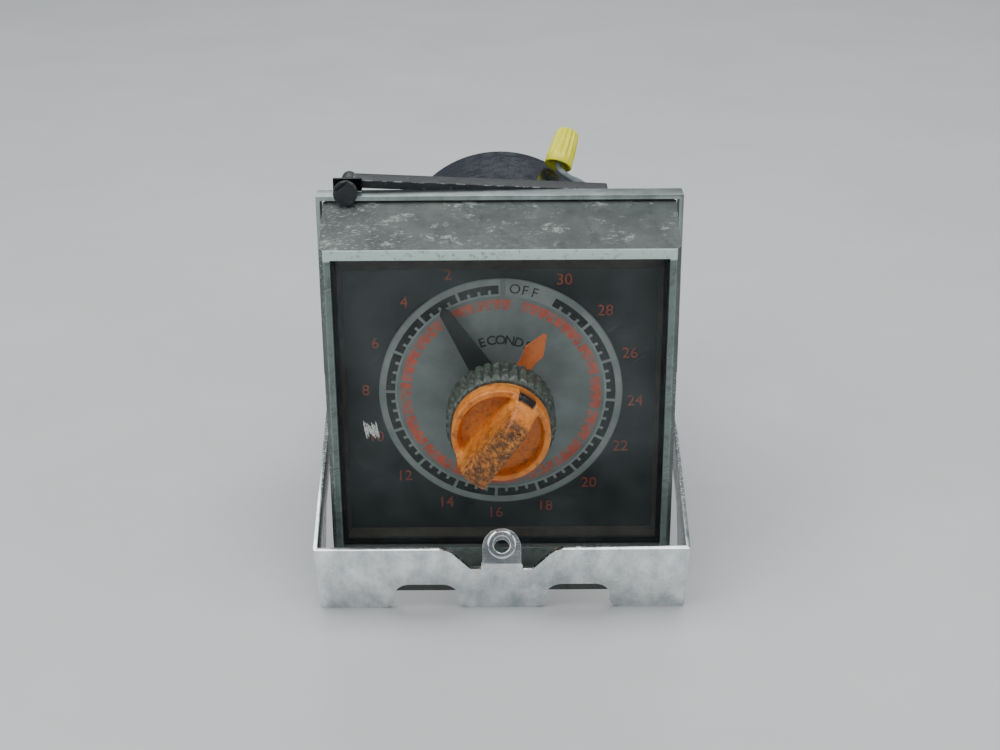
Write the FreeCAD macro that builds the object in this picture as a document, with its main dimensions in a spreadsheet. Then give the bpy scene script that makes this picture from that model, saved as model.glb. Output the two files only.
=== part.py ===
import FreeCAD, Part
import math
import os
import re
import Sketcher

# A panel timer with a round dial. It stands on its bezel and case with the dial towards -Y,
# the floor at z = 0, and x = 0 in the middle. Every depth in the sheet is measured back from
# the bezel's front plane, which lies at y = FrontY. Lengths are millimetres.

V = FreeCAD.Vector
doc = FreeCAD.newDocument("panel_timer")

# alias, value, what it is
DIMENSIONS = (
    ("FrontY", -60.65, "bezel front plane, so that the timer is centred front to back"),
    ("DialZ", 58, "height of the dial axis"),
    ("BezelHalf", 49, "half width of the bezel"),
    ("BezelDeep", 18.5, "depth of the bezel"),
    ("VisorFront", 105, "height of the visor's front edge"),
    ("VisorBack", 113.3, "height of the visor's back edge"),
    ("OpenHalf", 46, "half width of the bezel's opening"),
    ("OpenLow", 14.1, "bottom of the bezel's opening"),
    ("OpenHigh", 102.3, "top of the bezel's opening"),
    ("LipDeep", 2, "depth of the lip that holds the window"),
    ("LipWide", 1, "how far the lip reaches in"),
    ("BezelChamferWide", 1.4, "bezel chamfer across the front"),
    ("Play", 0.2, "room round a plate that drops into the bezel"),
    ("WindowThick", 2, "window thickness"),
    ("GasketThick", 1, "window gasket thickness"),
    ("GasketWide", 2, "window gasket width"),
    ("DialDeep", 12, "depth of the dial's front face"),
    ("DialThick", 1, "dial plate thickness"),
    ("FaceThick", 0.4, "dial face thickness"),
    ("FaceRadius", 34.9, "dial face radius"),
    ("ShaftRadius", 3, "setting shaft radius"),
    ("SleeveRadius", 4.5, "progress sleeve radius"),
    ("Fit", 0.06, "radial clearance of a running fit"),
    ("BushRadius", 5, "window bushing thread radius"),
    ("BushFlange", 8, "window bushing flange radius"),
    ("BushFront", -9, "front end of the window bushing"),
    ("BushThick", 0.8, "window bushing flange thickness"),
    ("RingRadius", 15.2, "lock ring radius over the knurl"),
    ("RingFront", -11.6, "front face of the lock ring"),
    ("RingBack", -0.4, "back face of the lock ring"),
    ("KnurlDeep", 0.9, "depth of the knurl's grooves"),
    ("KnurlCount", 36, "number of knurl grooves"),
    ("KnobRadius", 13.5, "setting knob skirt radius"),
    ("KnobBack", -12, "back face of the knob"),
    ("KnobRim", -17.7, "front of the knob's rim"),
    ("KnobDish", -15.2, "floor of the knob's dish"),
    ("KnobCrest", -26.7, "front of the knob's grip bar"),
    ("DishRadius", 11.4, "radius of the knob's dish"),
    ("GripWide", 7, "width of the grip bar at its foot"),
    ("GripCrest", 4.6, "width of the grip bar at its crest"),
    ("GripTurn", 51, "turn of the grip bar from level"),
    ("ShaftFront", -22, "front end of the setting shaft"),
    ("ShaftBack", 52, "back end of the setting shaft"),
    ("SetHandDeep", 5.2, "front face of the setting hand"),
    ("SetHandLong", 24, "setting hand length"),
    ("SetHandTurn", 58.5, "setting hand direction, from +X"),
    ("TimeHandDeep", 8, "front face of the progress hand"),
    ("TimeHandLong", 31.4, "progress hand length"),
    ("TimeHandTurn", 121, "progress hand direction, from +X"),
    ("HandThick", 0.8, "hand thickness"),
    ("SleeveFront", 7, "front end of the progress sleeve"),
    ("SleeveBack", 46, "back end of the progress sleeve"),
    ("PlateFront", 19.7, "front face of the front plate"),
    ("PlateThick", 1.6, "mechanism plate thickness"),
    ("PlateHalf", 44, "half width of the mechanism plates"),
    ("PlateLow", 10, "bottom edge of the mechanism plates"),
    ("PlateHigh", 94, "top edge of the mechanism plates"),
    ("PillarLong", 40.7, "length of the mechanism pillars"),
    ("PillarRadius", 3, "radius of the mechanism pillars"),
    ("PillarX", 41, "pillar distance from the dial axis, across"),
    ("PillarRise", 32, "pillar distance from the dial axis, up"),
    ("PostX", 36, "dial post distance from the dial axis, across"),
    ("PostRise", 27, "dial post distance from the dial axis, up"),
    ("BearingRadius", 6.5, "sleeve bearing outer radius"),
    ("BearingFront", 17, "front end of the sleeve bearing"),
    ("BearingLong", 8, "sleeve bearing length"),
    ("CamRadius", 12, "trip cam radius"),
    ("CamDeep", 26, "front face of the trip cam"),
    ("CamThick", 3, "trip cam thickness"),
    ("ClutchRadius", 14, "clutch disc radius"),
    ("ClutchDeep", 33, "front face of the clutch disc"),
    ("ClutchThick", 2, "clutch disc thickness"),
    ("StopDeep", 48, "front face of the stop arm"),
    ("StopLong", 19, "stop arm length"),
    ("StopThick", 1.6, "stop arm thickness"),
    ("GearModule", 0.8, "tooth module of both gear stages"),
    ("GearTeeth", 48, "teeth on each large gear"),
    ("PinionTeeth", 16, "teeth on each pinion"),
    ("Backlash", 0.12, "backlash of each mesh at the pitch circle"),
    ("MainGearDeep", 40, "front face of the main gear"),
    ("GearThick", 1.8, "large gear thickness"),
    ("PinionThick", 3.4, "pinion thickness"),
    ("IdlerGearDeep", 56, "front face of the idler gear"),
    ("IdlerTurn", 210, "direction of the idler from the dial axis"),
    ("ArborRadius", 1.5, "radius of the idler arbor and motor shaft"),
    ("MotorRadius", 28, "motor can radius"),
    ("MotorLong", 52, "motor can length"),
    ("MotorWall", 1, "motor can wall"),
    ("RotorRadius", 17, "motor rotor radius"),
    ("RotorLong", 36, "motor rotor length"),
    ("CoilInner", 18, "motor coil inner radius"),
    ("CoilOuter", 25, "motor coil outer radius"),
    ("CaseHalf", 47.6, "half width of the case"),
    ("CaseHigh", 96, "height of the case"),
    ("CaseBack", 75, "back face of the case"),
    ("CaseWall", 1.2, "case sheet thickness"),
    ("UpstandHigh", 112, "top of the case's front upstand"),
    ("CaseHole", 31, "radius of the hole in the case's back"),
    ("CanRadius", 36.5, "rear can radius"),
    ("CanBack", 145, "back face of the rear can"),
    ("CanWall", 0.9, "rear can wall"),
    ("CanRound", 6, "rounding of the rear can's edge"),
    ("StudX", 20, "cover stud distance from the dial axis"),
    ("StudRadius", 1.6, "cover stud radius"),
    ("YokeIn", 49.8, "inner face of the yoke's side plates"),
    ("YokeSheet", 1.2, "yoke sheet thickness"),
    ("YokeTop", 115, "top of the yoke"),
    ("YokeFront", 17.5, "front edge of the yoke"),
    ("YokeDeep", 6.5, "depth of the yoke's top band"),
    ("PivotDeep", 47, "depth of the bail's pivot"),
    ("PivotHigh", 46, "height of the bail's pivot"),
    ("BailTilt", 22.2, "tilt of the bail at rest"),
    ("BailFootDeep", -9.7, "depth of the bail's bottom edge"),
    ("BailSheet", 1.2, "bail sheet thickness"),
    ("BailIn", 51.25, "inner face of the bail's arms"),
    ("BailTall", 26.2, "height of the bail's front strip"),
    ("ArmTall", 10.6, "height of the bail's arms at the pivot"),
    ("ArchX", 21.7, "distance of the bail's arches from the middle"),
    ("ArchWide", 18, "width of the bail's arches"),
    ("ArchTall", 10.7, "height of the bail's arches"),
    ("NotchTop", 15.1, "half width of the bail's notch at the top"),
    ("NotchFoot", 7.4, "half width of the bail's notch at its foot"),
    ("NotchDeep", 8.7, "depth of the bail's notch"),
    ("TabHalf", 5.4, "half width of the bail's tab"),
    ("TabFold", 20.5, "height of the tab's fold along the strip"),
    ("TabTall", 9.6, "height of the tab above its fold"),
    ("TabLean", 50, "how far the tab leans back from the strip"),
    ("TabHole", 2.2, "radius of the hole in the tab"),
    ("ClampZ", 116.4, "height of the clamp screw"),
    ("ClampX", -42.5, "place of the clamp screw across"),
    ("StrapLong", 73, "length of the clamp strap"),
    ("StrapThick", 2.4, "thickness of the clamp strap"),
    ("StrapDeep", 7, "depth of the clamp strap"),
    ("StrapTilt", 2.7, "tilt of the clamp strap"),
    ("BlockHalf", 36, "half width of the terminal block"),
    ("BlockLow", 3, "bottom of the terminal block"),
    ("BlockTall", 14, "height of the terminal block"),
    ("BayPitch", 11, "pitch of the terminals"),
    ("LeadRadius", 1.05, "radius of the lead"),
    ("GrommetDeep", 136, "depth of the lead's grommet"),
    ("GrommetZ", 55.6, "height of the lead's grommet"),
    ("NutRadius", 4.8, "wire nut radius at its mouth"),
    ("NutLong", 14, "wire nut length"),
)

sheet = doc.addObject("Spreadsheet::Sheet", "dims")
for row, (alias, number, note) in enumerate(DIMENSIONS, 1):
    sheet.set(f"A{row}", note)
    sheet.set(f"B{row}", str(number))
    sheet.setAlias(f"B{row}", alias)
doc.recompute()

WORD = re.compile(r"[A-Z][A-Za-z]+")
finished = []


def named(text):
    """An expression with each alias given its sheet."""
    return WORD.sub(r"dims.\g<0>", str(text))


def size(text):
    """The number that an expression comes to."""
    return float(sheet.evalExpression(named(text)))


def bind(thing, path, text):
    """Bind one property to an expression."""
    thing.setExpression(path, named(text))


def place(thing, x, y, z):
    """Bind where a thing stands."""
    bind(thing, "Placement.Base.x", x)
    bind(thing, "Placement.Base.y", y)
    bind(thing, "Placement.Base.z", z)


def deep(text):
    """A depth behind the bezel's front plane, as a y coordinate."""
    return f"FrontY + {text}"


def done(thing, label):
    """Keep a finished sub-part under the name of its file."""
    thing.Label = label
    finished.append(thing)
    return thing


# Part primitives -----------------------------------------------------------------------

def block(x, y, z, wide, long, tall):
    """A box from its lowest corner and its three sizes."""
    thing = doc.addObject("Part::Box", "block")
    bind(thing, "Length", wide)
    bind(thing, "Width", long)
    bind(thing, "Height", tall)
    place(thing, x, y, z)
    return thing


TURNS = {
    "+X": FreeCAD.Rotation(V(0, 1, 0), 90),
    "-X": FreeCAD.Rotation(V(0, 1, 0), -90),
    "+Y": FreeCAD.Rotation(V(1, 0, 0), -90),
    "+Z": FreeCAD.Rotation(),
    "-Z": FreeCAD.Rotation(V(1, 0, 0), 180),
}


def rod(x, y, z, radius, long, way="+Y"):
    """A cylinder from the middle of its first end, along an axis of the frame."""
    thing = doc.addObject("Part::Cylinder", "rod")
    thing.Placement = FreeCAD.Placement(V(0, 0, 0), TURNS[way])
    bind(thing, "Radius", radius)
    bind(thing, "Height", long)
    place(thing, x, y, z)
    return thing


def join(*things):
    thing = doc.addObject("Part::MultiFuse", "join")
    thing.Shapes = list(things)
    return thing


def cut(base, *tools):
    thing = doc.addObject("Part::Cut", "cut")
    thing.Base = base
    thing.Tool = tools[0] if len(tools) == 1 else join(*tools)
    return thing


def group(things):
    """Alike pieces kept as separate solids of one node."""
    thing = doc.addObject("Part::Compound", "group")
    thing.Links = list(things)
    return thing


def tube(y, long, outer, inner, x="0", z="DialZ"):
    """A ring or sleeve round an axis along Y."""
    return cut(rod(x, y, z, outer, long), rod(x, f"{y} - 1", z, inner, f"{long} + 2"))


# PartDesign bodies ---------------------------------------------------------------------

def new_body():
    return doc.addObject("PartDesign::Body", "body")


def origin_part(body, role):
    return next(part for part in body.Origin.OriginFeatures if part.Role == role)


def sketch_on(body, role, shift="0"):
    """A sketch on one of the body's origin planes, shifted along the plane's normal."""
    sketch = body.newObject("Sketcher::SketchObject", "sketch")
    sketch.AttachmentSupport = [(origin_part(body, role), "")]
    sketch.MapMode = "FlatFace"
    bind(sketch, "AttachmentOffset.Base.z", shift)
    return sketch


def hold(sketch, kind, geometry, point, text):
    """Fix one coordinate of a sketch point to an expression."""
    if text == "0":
        line = -2 if kind == "DistanceX" else -1
        sketch.addConstraint(Sketcher.Constraint("PointOnObject", geometry, point, line))
        return
    index = sketch.addConstraint(Sketcher.Constraint(kind, -1, 1, geometry, point, size(text)))
    bind(sketch, f"Constraints[{index}]", text)


def outline(sketch, points):
    """A closed outline of straight lines, each corner bound to the sheet."""
    corners = [V(size(x), size(y), 0) for x, y in points]
    first = sketch.GeometryCount
    count = len(corners)
    for index in range(count):
        sketch.addGeometry(Part.LineSegment(corners[index], corners[(index + 1) % count]), False)
    for index in range(count):
        after = first + (index + 1) % count
        sketch.addConstraint(Sketcher.Constraint("Coincident", first + index, 2, after, 1))
    for index, (x, y) in enumerate(points):
        hold(sketch, "DistanceX", first + index, 1, x)
        hold(sketch, "DistanceY", first + index, 1, y)


def round_hole(sketch, x, y, radius):
    """A circle whose centre and radius are bound to the sheet."""
    circle = Part.Circle(V(size(x), size(y), 0), V(0, 0, 1), size(radius))
    index = sketch.addGeometry(circle, False)
    hold(sketch, "DistanceX", index, 3, x)
    hold(sketch, "DistanceY", index, 3, y)
    held = sketch.addConstraint(Sketcher.Constraint("Radius", index, size(radius)))
    bind(sketch, f"Constraints[{held}]", radius)


def rectangle(left, low, right, high):
    return ((left, low), (right, low), (right, high), (left, high))


def pad(body, sketch, long):
    feature = body.newObject("PartDesign::Pad", "pad")
    feature.Profile = sketch
    bind(feature, "Length", long)
    doc.recompute()
    return feature


def pocket(body, sketch, long, reverse=False):
    """A pocket that has to take material away. It runs against the plane's normal unless reversed."""
    before = body.Shape.Volume
    feature = body.newObject("PartDesign::Pocket", "pocket")
    feature.Profile = sketch
    feature.Reversed = reverse
    bind(feature, "Length", long)
    doc.recompute()
    if body.Shape.Volume > before - 0.001:
        raise RuntimeError("a pocket cut nothing")
    return feature


def turned(points, label, y="FrontY", z="DialZ"):
    """A piece turned about an axis along Y, from an outline of radius and depth."""
    body = new_body()
    sketch = sketch_on(body, "XY_Plane")
    outline(sketch, points)
    feature = body.newObject("PartDesign::Revolution", "turned")
    feature.Profile = sketch
    feature.ReferenceAxis = (origin_part(body, "Y_Axis"), [""])
    feature.Angle = 360
    place(body, "0", y, z)
    doc.recompute()
    return done(body, label) if label else body


def plate(front, thick, points, holes=()):
    """A flat plate across the dial axis. The XZ plane's normal is -Y."""
    body = new_body()
    sketch = sketch_on(body, "XZ_Plane", f"-({deep(front)} + {thick})")
    outline(sketch, points)
    for x, z, radius in holes:
        round_hole(sketch, x, z, radius)
    pad(body, sketch, thick)
    return body


def soften(body, kind, amount, wanted):
    """Round or chamfer the edges whose middle the test picks."""
    names = []
    base = body.Tip
    for index, edge in enumerate(base.Shape.Edges, 1):
        middle = edge.valueAt((edge.FirstParameter + edge.LastParameter) / 2)
        if wanted(edge, middle):
            names.append(f"Edge{index}")
    if not names:
        raise RuntimeError("no edge to soften")
    feature = body.newObject(f"PartDesign::{kind}", kind.lower())
    feature.Base = (base, names)
    bind(feature, "Radius" if kind == "Fillet" else "Size", amount)
    doc.recompute()
    return feature


def runs_along(edge, axis):
    """Whether a straight edge lies along an axis of the frame."""
    if not isinstance(edge.Curve, (Part.Line, Part.LineSegment)):
        return False
    ends = [vertex.Point for vertex in edge.Vertexes]
    way = ends[-1] - ends[0]
    return abs(way.normalize().dot(axis)) > 0.9999


def mirror_x(points):
    """The same outline on the other side of x = 0."""
    return tuple((f"-({x})" if x != "0" else x, z) for x, z in reversed(points))


SIDES = (-1, 1)


# Bezel, window and dial ----------------------------------------------------------------

def make_bezel():
    """A cast frame with a sloping visor, a lip for the window and screw holes behind."""
    body = new_body()
    side = sketch_on(body, "YZ_Plane", "-BezelHalf")
    outline(side, (("0", "0"), ("BezelDeep", "0"), ("BezelDeep", "VisorBack"), ("0", "VisorFront")))
    pad(body, side, "2 * BezelHalf")
    front = sketch_on(body, "XZ_Plane", "1")
    outline(front, rectangle("-OpenHalf", "OpenLow", "OpenHalf", "OpenHigh"))
    pocket(body, front, "BezelDeep + 2")
    back = sketch_on(body, "XZ_Plane", "-LipDeep")
    wide = "OpenHalf + LipWide"
    outline(back, rectangle(f"-({wide})", "OpenLow - LipWide", wide, "OpenHigh + LipWide"))
    pocket(body, back, "BezelDeep")
    holes = sketch_on(body, "XZ_Plane", "-(BezelDeep - 9)")
    for side_sign in SIDES:
        for height in (6.5, 107.5):
            round_hole(holes, 44.3 * side_sign, height, 1.3)
    pocket(body, holes, "10")
    along_z = V(0, 0, 1)

    def outer_front(edge, middle):
        return runs_along(edge, along_z) and abs(middle.x) > 48.9 and middle.y < 0.1

    soften(body, "Chamfer", "BezelChamferWide", outer_front)
    place(body, "0", "FrontY", "0")
    return done(body, "bezel")


def window_outline(shrink):
    wide = f"OpenHalf + LipWide - Play - {shrink}"
    low = f"OpenLow - LipWide + Play + {shrink}"
    high = f"OpenHigh + LipWide - Play - {shrink}"
    return rectangle(f"-({wide})", low, wide, high)


def make_front():
    """The window, its gasket, the dial and the ring that is printed on it."""
    bush_hole = (("0", "DialZ", "BushRadius + 2"),)
    done(plate("LipDeep", "WindowThick", window_outline(0), bush_hole), "window")
    gasket = new_body()
    face = sketch_on(gasket, "XZ_Plane", f"-({deep('LipDeep + WindowThick + GasketThick')})")
    outline(face, window_outline(0))
    outline(face, window_outline("GasketWide"))
    pad(gasket, face, "GasketThick")
    done(gasket, "window_gasket")
    centre = (("0", "DialZ", "SleeveRadius + 1"),)
    done(plate("DialDeep", "DialThick", window_outline(0), centre), "dial_plate")
    done(tube(deep("DialDeep - FaceThick"), "FaceThick", "FaceRadius", "SleeveRadius + 1"), "dial_face")
    back = deep("DialDeep + DialThick")
    long = "PlateFront - DialDeep - DialThick"
    posts = [
        rod(f"{sign} * PostX", back, f"DialZ + {rise} * PostRise", "2.5", long)
        for sign in SIDES for rise in SIDES
    ]
    done(group(posts), "dial_posts")


def make_bushing():
    """The flanged bushing in the window: it carries the lock ring and the setting shaft."""
    bore = "ShaftRadius + Fit"
    flange = "LipDeep + WindowThick"
    turned((
        (bore, "BushFront"), ("BushRadius", "BushFront"), ("BushRadius", "LipDeep - 0.8"),
        ("BushRadius + 1.9", "LipDeep - 0.8"), ("BushRadius + 1.9", flange),
        ("BushFlange", flange), ("BushFlange", f"{flange} + BushThick"), (bore, f"{flange} + BushThick"),
    ), "window_bushing")


def make_lock_ring():
    """A knurled ring that screws along the bushing and clamps the knob."""
    body = turned((
        ("BushRadius + Fit", "RingFront"), ("RingRadius - 1.2", "RingFront"),
        ("RingRadius", "RingFront + 1.4"), ("RingRadius", "RingBack - 0.8"),
        ("RingRadius - 1", "RingBack"), ("BushRadius + Fit", "RingBack"),
    ), None)
    groove = sketch_on(body, "XZ_Plane", "-(RingFront - 1)")
    outline(groove, (
        ("RingRadius - KnurlDeep", "0"), ("RingRadius + 1", "-1.6"), ("RingRadius + 1", "1.6"),
    ))
    first = pocket(body, groove, "RingBack - RingFront + 2")
    knurl = body.newObject("PartDesign::PolarPattern", "knurl")
    knurl.Originals = [first]
    knurl.Axis = (origin_part(body, "Y_Axis"), [""])
    knurl.Angle = 360
    bind(knurl, "Occurrences", "KnurlCount")
    body.Tip = knurl
    doc.recompute()
    done(body, "lock_ring")


def make_knob():
    """A dished skirt with a raised grip bar across it, bored for the setting shaft."""
    body = turned((
        ("0", "KnobBack"), ("KnobRadius", "KnobBack"), ("KnobRadius", "KnobRim"),
        ("DishRadius", "KnobRim"), ("DishRadius - 1", "KnobDish"), ("0", "KnobDish"),
    ), None)
    grip = sketch_on(body, "XY_Plane", "-GripWide / 2")
    reach = "KnobRadius - 0.2"
    outline(grip, (
        (f"-({reach})", "KnobDish + 1"), (reach, "KnobDish + 1"), (reach, "KnobRim - 1"),
        ("KnobRadius - 4", "KnobCrest"), ("4 - KnobRadius", "KnobCrest"), (f"-({reach})", "KnobRim - 1"),
    ))
    pad(body, grip, "GripWide")
    slopes = sketch_on(body, "YZ_Plane", "-KnobRadius - 1")
    for sign in SIDES:
        outline(slopes, (
            ("KnobCrest - 1", f"{sign} * GripCrest / 2"), ("KnobRim", f"{sign} * GripWide / 2"),
            ("KnobRim", f"{sign} * (GripWide / 2 + 1)"), ("KnobCrest - 1", f"{sign} * (GripWide / 2 + 1)"),
        ))
    pocket(body, slopes, "2 * KnobRadius + 2", reverse=True)
    bore = sketch_on(body, "XZ_Plane", "-ShaftFront")
    round_hole(bore, "0", "0", "ShaftRadius")
    pocket(body, bore, "KnobBack - ShaftFront + 1")
    screw_hole = sketch_on(body, "YZ_Plane", "ShaftRadius")
    round_hole(screw_hole, "(KnobBack + KnobDish) / 2", "0", "1.1")
    pocket(body, screw_hole, "KnobRadius", reverse=True)
    body.Placement = FreeCAD.Placement(V(0, 0, 0), FreeCAD.Rotation(V(0, -1, 0), size("GripTurn")))
    place(body, "0", "FrontY", "DialZ")
    done(body, "setting_knob")
    screw = rod("0", "0", "0", "1", "6", "+X")
    turn = FreeCAD.Rotation(V(0, -1, 0), size("GripTurn"))
    screw.Placement = FreeCAD.Placement(V(0, 0, 0), turn.multiply(TURNS["+X"]))
    reach = "(ShaftRadius + 0.1)"
    place(screw, f"{reach} * cos(GripTurn)", deep("(KnobBack + KnobDish) / 2"),
          f"DialZ + {reach} * sin(GripTurn)")
    done(screw, "knob_set_screw")


def make_hand(label, front, bore, hub, points, turn):
    """A flat hand with a round hub. Its outline runs along +X before it is turned."""
    body = new_body()
    sketch = sketch_on(body, "XZ_Plane", f"-({front} + HandThick)")
    outline(sketch, points)
    pad(body, sketch, "HandThick")
    ring = sketch_on(body, "XZ_Plane", f"-({front} + HandThick)")
    round_hole(ring, "0", "0", hub)
    pad(body, ring, "HandThick")
    hole = sketch_on(body, "XZ_Plane", f"-({front} - 1)")
    round_hole(hole, "0", "0", bore)
    pocket(body, hole, "HandThick + 2")
    body.Placement = FreeCAD.Placement(V(0, 0, 0), FreeCAD.Rotation(V(0, -1, 0), size(turn)))
    place(body, "0", "FrontY", "DialZ")
    return done(body, label)


def make_setting():
    """The setting shaft with its hand in front and its stop arm behind."""
    done(rod("0", deep("ShaftFront"), "DialZ", "ShaftRadius", "ShaftBack - ShaftFront"), "setting_shaft")
    long = "SetHandLong"
    make_hand("setting_hand", "SetHandDeep", "ShaftRadius", "ShaftRadius + 2", (
        ("3", "-2"), (f"{long} - 9", "-2.2"), (f"{long} - 6", "-3"), (long, "-0.5"),
        (long, "0.5"), (f"{long} - 6", "3"), (f"{long} - 9", "2.2"), ("3", "2"),
    ), "SetHandTurn")
    hub = tube(deep("StopDeep"), "StopThick", "ShaftRadius + 3", "ShaftRadius")
    arm = block("-2", deep("StopDeep"), "DialZ + ShaftRadius + 1", "4", "StopThick", "StopLong - ShaftRadius - 1")
    done(join(hub, arm), "stop_arm")


# Mechanism -----------------------------------------------------------------------------

def gear_outline(teeth, hole):
    """A face with involute teeth round +Z, the middle of its first tooth on +X."""
    module = size("GearModule")
    pitch = module * teeth / 2
    pressure = math.radians(20)
    base = pitch * math.cos(pressure)
    tip = pitch + 0.8 * module
    root = pitch - 1.05 * module
    half_tooth = math.pi / (2 * teeth) - size("Backlash") / (4 * pitch)

    def involute(angle):
        return math.tan(angle) - angle

    start = max(base, root)
    flank = []
    for step in range(5):
        radius = start + (tip - start) * step / 4
        roll = math.acos(min(1, base / radius))
        flank.append((radius, half_tooth + involute(pressure) - involute(roll)))
    profile = [(root, flank[0][1] + 0.1 / root)] + flank
    points = []
    for tooth in range(teeth):
        middle = 2 * math.pi * tooth / teeth
        for radius, angle in [(r, -a) for r, a in profile] + profile[::-1]:
            points.append(V(radius * math.cos(middle + angle), radius * math.sin(middle + angle), 0))
    rim = Part.Face(Part.makePolygon(points + points[:1]))
    bore = Part.Face(Part.Wire(Part.makeCircle(hole)))
    return rim.cut(bore)


def make_gear(label, teeth, thick, hole, front, turn, x=0.0, rise=0.0):
    """A gear across the dial axis, its first tooth turned to an angle from +X."""
    solid = gear_outline(teeth, hole).extrude(V(0, 0, thick)).Solids[0]
    gear = doc.addObject("Part::Feature", label)
    gear.Shape = solid
    # laid over so that +Z of the flat gear becomes -Y and +Y becomes +Z
    lay = FreeCAD.Rotation(V(1, 0, 0), 90)
    spin = FreeCAD.Rotation(V(0, -1, 0), turn)
    y = size(deep(front)) + thick
    gear.Placement = FreeCAD.Placement(V(x, y, size("DialZ") + rise), spin.multiply(lay))
    return done(gear, label)


def make_gears():
    """Two alike stages: main gear and idler pinion, idler gear and motor pinion."""
    teeth = int(size("GearTeeth"))
    leaves = int(size("PinionTeeth"))
    reach = size("GearModule") * (teeth + leaves) / 2
    angle = size("IdlerTurn")
    x = reach * math.cos(math.radians(angle))
    rise = reach * math.sin(math.radians(angle))
    half_gap = 180 / leaves
    arbor = size("ArborRadius")
    over = (size("PinionThick") - size("GearThick")) / 2
    make_gear("main_gear", teeth, size("GearThick"), size("SleeveRadius"), "MainGearDeep", angle)
    make_gear("idler_pinion", leaves, size("PinionThick"), arbor, f"MainGearDeep - {over}",
              angle + 180 + half_gap, x, rise)
    make_gear("idler_gear", teeth, size("GearThick"), arbor, "IdlerGearDeep", angle + 180, x, rise)
    make_gear("motor_pinion", leaves, size("PinionThick"), arbor, f"IdlerGearDeep - {over}", angle + half_gap)
    front = "PlateFront + PlateThick - 1.2"
    done(rod(x, deep(front), f"DialZ + {rise}", "ArborRadius", "PillarLong + 2.4"), "idler_arbor")
    return x, rise


def make_progress():
    """The sleeve that carries the progress hand, the trip cam, the clutch disc and the main gear."""
    done(tube(deep("SleeveFront"), "SleeveBack - SleeveFront", "SleeveRadius", "ShaftRadius + Fit"),
         "progress_sleeve")
    long = "TimeHandLong"
    make_hand("progress_hand", "TimeHandDeep", "SleeveRadius", "SleeveRadius + 2.4", (
        ("4", "-4"), (f"{long} - 1", "-1.5"), (long, "-0.5"), (long, "0.5"), (f"{long} - 1", "1.5"), ("4", "4"),
    ), "TimeHandTurn")
    disc = tube(deep("CamDeep"), "CamThick", "CamRadius", "SleeveRadius")
    notch = block("-2", deep("CamDeep - 1"), "DialZ + CamRadius - 2.5", "4", "CamThick + 2", "4")
    done(cut(disc, notch), "trip_cam")
    done(tube(deep("ClutchDeep"), "ClutchThick", "ClutchRadius", "SleeveRadius"), "clutch_disc")
    turned((
        ("SleeveRadius + Fit", "BearingFront"), ("BearingRadius", "BearingFront"),
        ("BearingRadius", "PlateFront + PlateThick"), ("BearingRadius + 2", "PlateFront + PlateThick"),
        ("BearingRadius + 2", "BearingFront + BearingLong"), ("SleeveRadius + Fit", "BearingFront + BearingLong"),
    ), "sleeve_bearing")
    # a flat spiral spring of three turns, standing clear of the sleeve inside it
    thick = 0.4
    turns = 3
    steps = 24
    inner = []
    outer = []
    for step in range(turns * steps + 1):
        way = 2 * math.pi * step / steps
        radius = size("SleeveRadius") + 1 + 1.8 * step / steps
        inner.append(V(radius * math.cos(way), 0, radius * math.sin(way)))
        outer.append(V((radius + thick) * math.cos(way), 0, (radius + thick) * math.sin(way)))
    ring = Part.makePolygon(inner + outer[::-1] + inner[:1])
    spring = doc.addObject("Part::Feature", "reset_spring")
    spring.Shape = Part.Face(ring).extrude(V(0, 2, 0))
    spring.Placement = FreeCAD.Placement(V(0, size(deep("MainGearDeep + 2.8")), size("DialZ")), FreeCAD.Rotation())
    done(spring, "reset_spring")


def make_plates(idler_x, idler_rise):
    """The two mechanism plates with the pillars and screws that hold them."""
    shape = rectangle("-PlateHalf", "PlateLow", "PlateHalf", "PlateHigh")
    idler = (idler_x, f"DialZ + {idler_rise}", "ArborRadius + Fit")
    done(plate("PlateFront", "PlateThick", shape, (("0", "DialZ", "BearingRadius"), idler)), "front_plate")
    rear = "PlateFront + PlateThick + PillarLong"
    shaft = ("0", "DialZ", "ArborRadius + Fit")
    done(plate(rear, "PlateThick", shape, (shaft, idler)), "rear_plate")
    front = deep("PlateFront + PlateThick")
    places = [(f"{sign} * PillarX", f"DialZ + {rise} * PillarRise") for sign in SIDES for rise in SIDES]
    done(group([rod(x, front, z, "PillarRadius", "PillarLong") for x, z in places]), "plate_pillars")
    back = deep(f"{rear} + PlateThick")
    done(group([rod(x, back, z, "2.6", "1.6") for x, z in places]), "pillar_screws")


def make_motor():
    """A synchronous motor: its can, its coil, and the rotor on its shaft."""
    front = "PlateFront + 2 * PlateThick + PillarLong"
    turned((
        ("ArborRadius + Fit", front), ("MotorRadius", front), ("MotorRadius", f"{front} + MotorLong"),
        ("0", f"{front} + MotorLong"), ("0", f"{front} + MotorLong - MotorWall"),
        ("MotorRadius - MotorWall", f"{front} + MotorLong - MotorWall"),
        ("MotorRadius - MotorWall", f"{front} + MotorWall"), ("ArborRadius + Fit", f"{front} + MotorWall"),
    ), "motor_can")
    done(tube(deep(f"{front} + 8"), "RotorLong", "CoilOuter", "CoilInner"), "motor_coil")
    shaft = rod("0", deep("IdlerGearDeep - 2"), "DialZ", "ArborRadius", f"{front} - IdlerGearDeep + RotorLong + 10")
    core = rod("0", deep(f"{front} + 8"), "DialZ", "RotorRadius", "RotorLong")
    done(join(shaft, core), "motor_rotor")


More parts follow.
